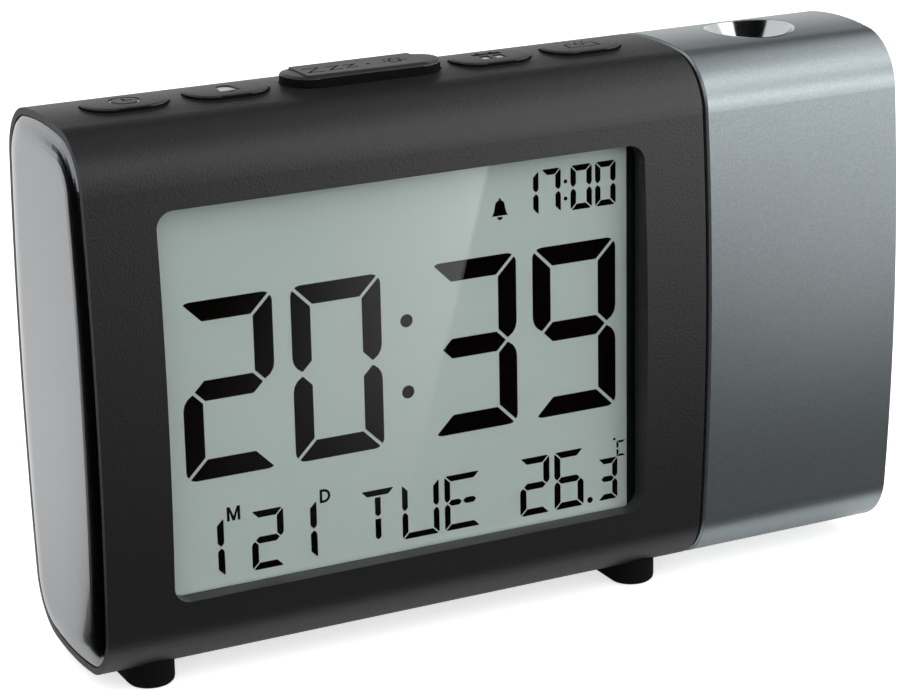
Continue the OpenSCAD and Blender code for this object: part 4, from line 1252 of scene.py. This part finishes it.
@dataclass
class Studio:
    """Pale paper floor, soft lamps, cards and the camera, in metres."""

    camera_at: Spot = (-0.2030, -0.4009, 0.1837)
    azimuth: float = 0.4645
    elevation: float = 0.3070
    roll: float = -0.0191
    lens_mm: float = 114.225
    sensor_mm: float = 36.0
    clip: Point = (0.02, 20.0)
    floor_half: float = 4.0
    lamp_distance: float = 1.0
    lamp_aim: Spot = (0.0, 0.0, 0.05)
    cards: tuple[Card, ...] = (
        Card("front_card", GLOWING_GRADED, lying(
            0.0004, (-0.90, -0.020), (0.22, -0.020), (0.30, -0.20), (0.42, -0.50),
            (1.20, -1.20), (-0.90, -1.20))),
        Card("glowing_bounce_card", GLOWING_BOUNCE, lying(
            0.0008, (0.07, -0.07), (0.16, -0.07), (0.32, -0.20), (0.32, -0.34),
            (0.235, -0.34), (0.185, -0.258), (0.115, -0.14))),
        Card("flag_card", FELT, standing(-0.30, -0.50, 0.07, 0.01, 0.25), False),
        Card("left_card", FELT, lying(
            0.0004, (-0.0755, -0.022), (-0.0757, 0.009), (-0.50, 1.015), (-1.00, 1.015),
            (-1.00, -0.25))),
        Card("back_card", FELT, standing(0.45, -0.10, 0.75, 0.30, 0.85)),
        Card("top_card", FELT, lying(
            0.59, (0.30, -0.55), (-0.60, -0.55), (-0.60, 0.05), (0.10, 0.05)), False),
        Card("roof_card", GREY, lying(
            0.85, (-0.35, 0.45), (0.60, 0.45), (0.60, -0.50), (-0.35, -0.50))),
    )
    boxes: tuple[SoftBox, ...] = (
        SoftBox("left_box", -20.0, 27.0, (0.95, 0.90), 0.6),
        SoftBox("low_box", 40.0, 9.0, (1.20, 0.32), 1.75),
        SoftBox("high_box", 60.0, 52.0, (1.20, 0.66), 1.35),
    )

    def sheet(self, name: str, corners: Iterable[Spot], finish: Finish,
              seen: bool) -> Piece:
        """Adds a flat sheet to the stage.

        Args:
            name: the sheet's name.
            corners: its corners in turn, in metres.
            finish: what it is made of.
            seen: True if the camera sees it and it takes part in the diffuse light.

        Returns:
            The sheet.
        """
        bm = bmesh.new()
        bm.faces.new([bm.verts.new(corner) for corner in corners])
        sheet = add_mesh(name, bm, finish)
        sheet.visible_camera = seen
        sheet.visible_shadow = seen
        sheet.visible_diffuse = seen
        return sheet

    def build_floor(self) -> None:
        """The pale paper that the clock stands on."""
        r = self.floor_half
        self.sheet("floor", lying(0, *block(-r, r, -r, r)), PAPER, True)

    def build_cards(self) -> None:
        """Cards round the clock that shape what its gloss shows."""
        for card in self.cards:
            sheet = self.sheet(card.name, card.corners, card.finish, False)
            sheet.visible_transmission = card.behind_clear

    def build_lamps(self) -> None:
        """The soft boxes, each facing the clock."""
        for box in self.boxes:
            (ca, sa), (ce, se) = polar(box.azimuth), polar(box.elevation)
            way = Vector((sa * ce, -ca * ce, se))
            data = bpy.data.lights.new(box.name, "AREA")
            data.shape = "RECTANGLE"
            data.size, data.size_y = box.size
            data.energy = box.radiance * math.pi * box.size[0] * box.size[1]
            lamp = add_object(box.name, data)
            lamp.location = Vector(self.lamp_aim) + way * self.lamp_distance
            lamp.rotation_euler = way.to_track_quat("Z", "Y").to_euler()

    def build_world(self) -> None:
        """White surroundings."""
        world = bpy.data.worlds.new("studio_air")
        world.use_nodes = True
        tree = world.node_tree
        tree.nodes.clear()
        air = add_node(tree, "Background", {0: WHITE, 1: 1.0})
        add_node(tree, "OutputWorld", {0: air.outputs[0]})
        bpy.context.scene.world = world

    def build_camera(self) -> None:
        """The camera, a little above the clock and to its left."""
        ca, sa = math.cos(self.azimuth), math.sin(self.azimuth)
        ce, se = math.cos(self.elevation), math.sin(self.elevation)
        back = Vector((-sa * ce, -ca * ce, se))
        right = (-back).cross(Vector((0, 0, 1))).normalized()
        up = right.cross(-back)
        c, s = math.cos(self.roll), math.sin(self.roll)
        across, above = c * right + s * up, -s * right + c * up
        data = bpy.data.cameras.new("view")
        data.lens = self.lens_mm
        data.sensor_width = self.sensor_mm
        data.clip_start, data.clip_end = self.clip
        camera = add_object("view", data)
        turn = Matrix((across, above, back)).transposed().to_4x4()
        camera.matrix_world = Matrix.Translation(self.camera_at) @ turn
        bpy.context.scene.camera = camera

    def build(self) -> None:
        """Sets the stage."""
        self.build_camera()
        self.build_world()
        self.build_floor()
        self.build_cards()
        self.build_lamps()
        bpy.context.scene.view_settings.view_transform = "Standard"


def main() -> None:
    """Builds and dresses each sub-assembly in order."""
    logging.basicConfig(level=logging.INFO, format="%(name)s: %(message)s")
    Studio().build()
    Case().dress()
    display = Display()
    display.build()
    display.dress()
    KeyRow().build()
    ProjectorHead().dress()
    Works().dress()


if __name__ == "__main__":
    main()
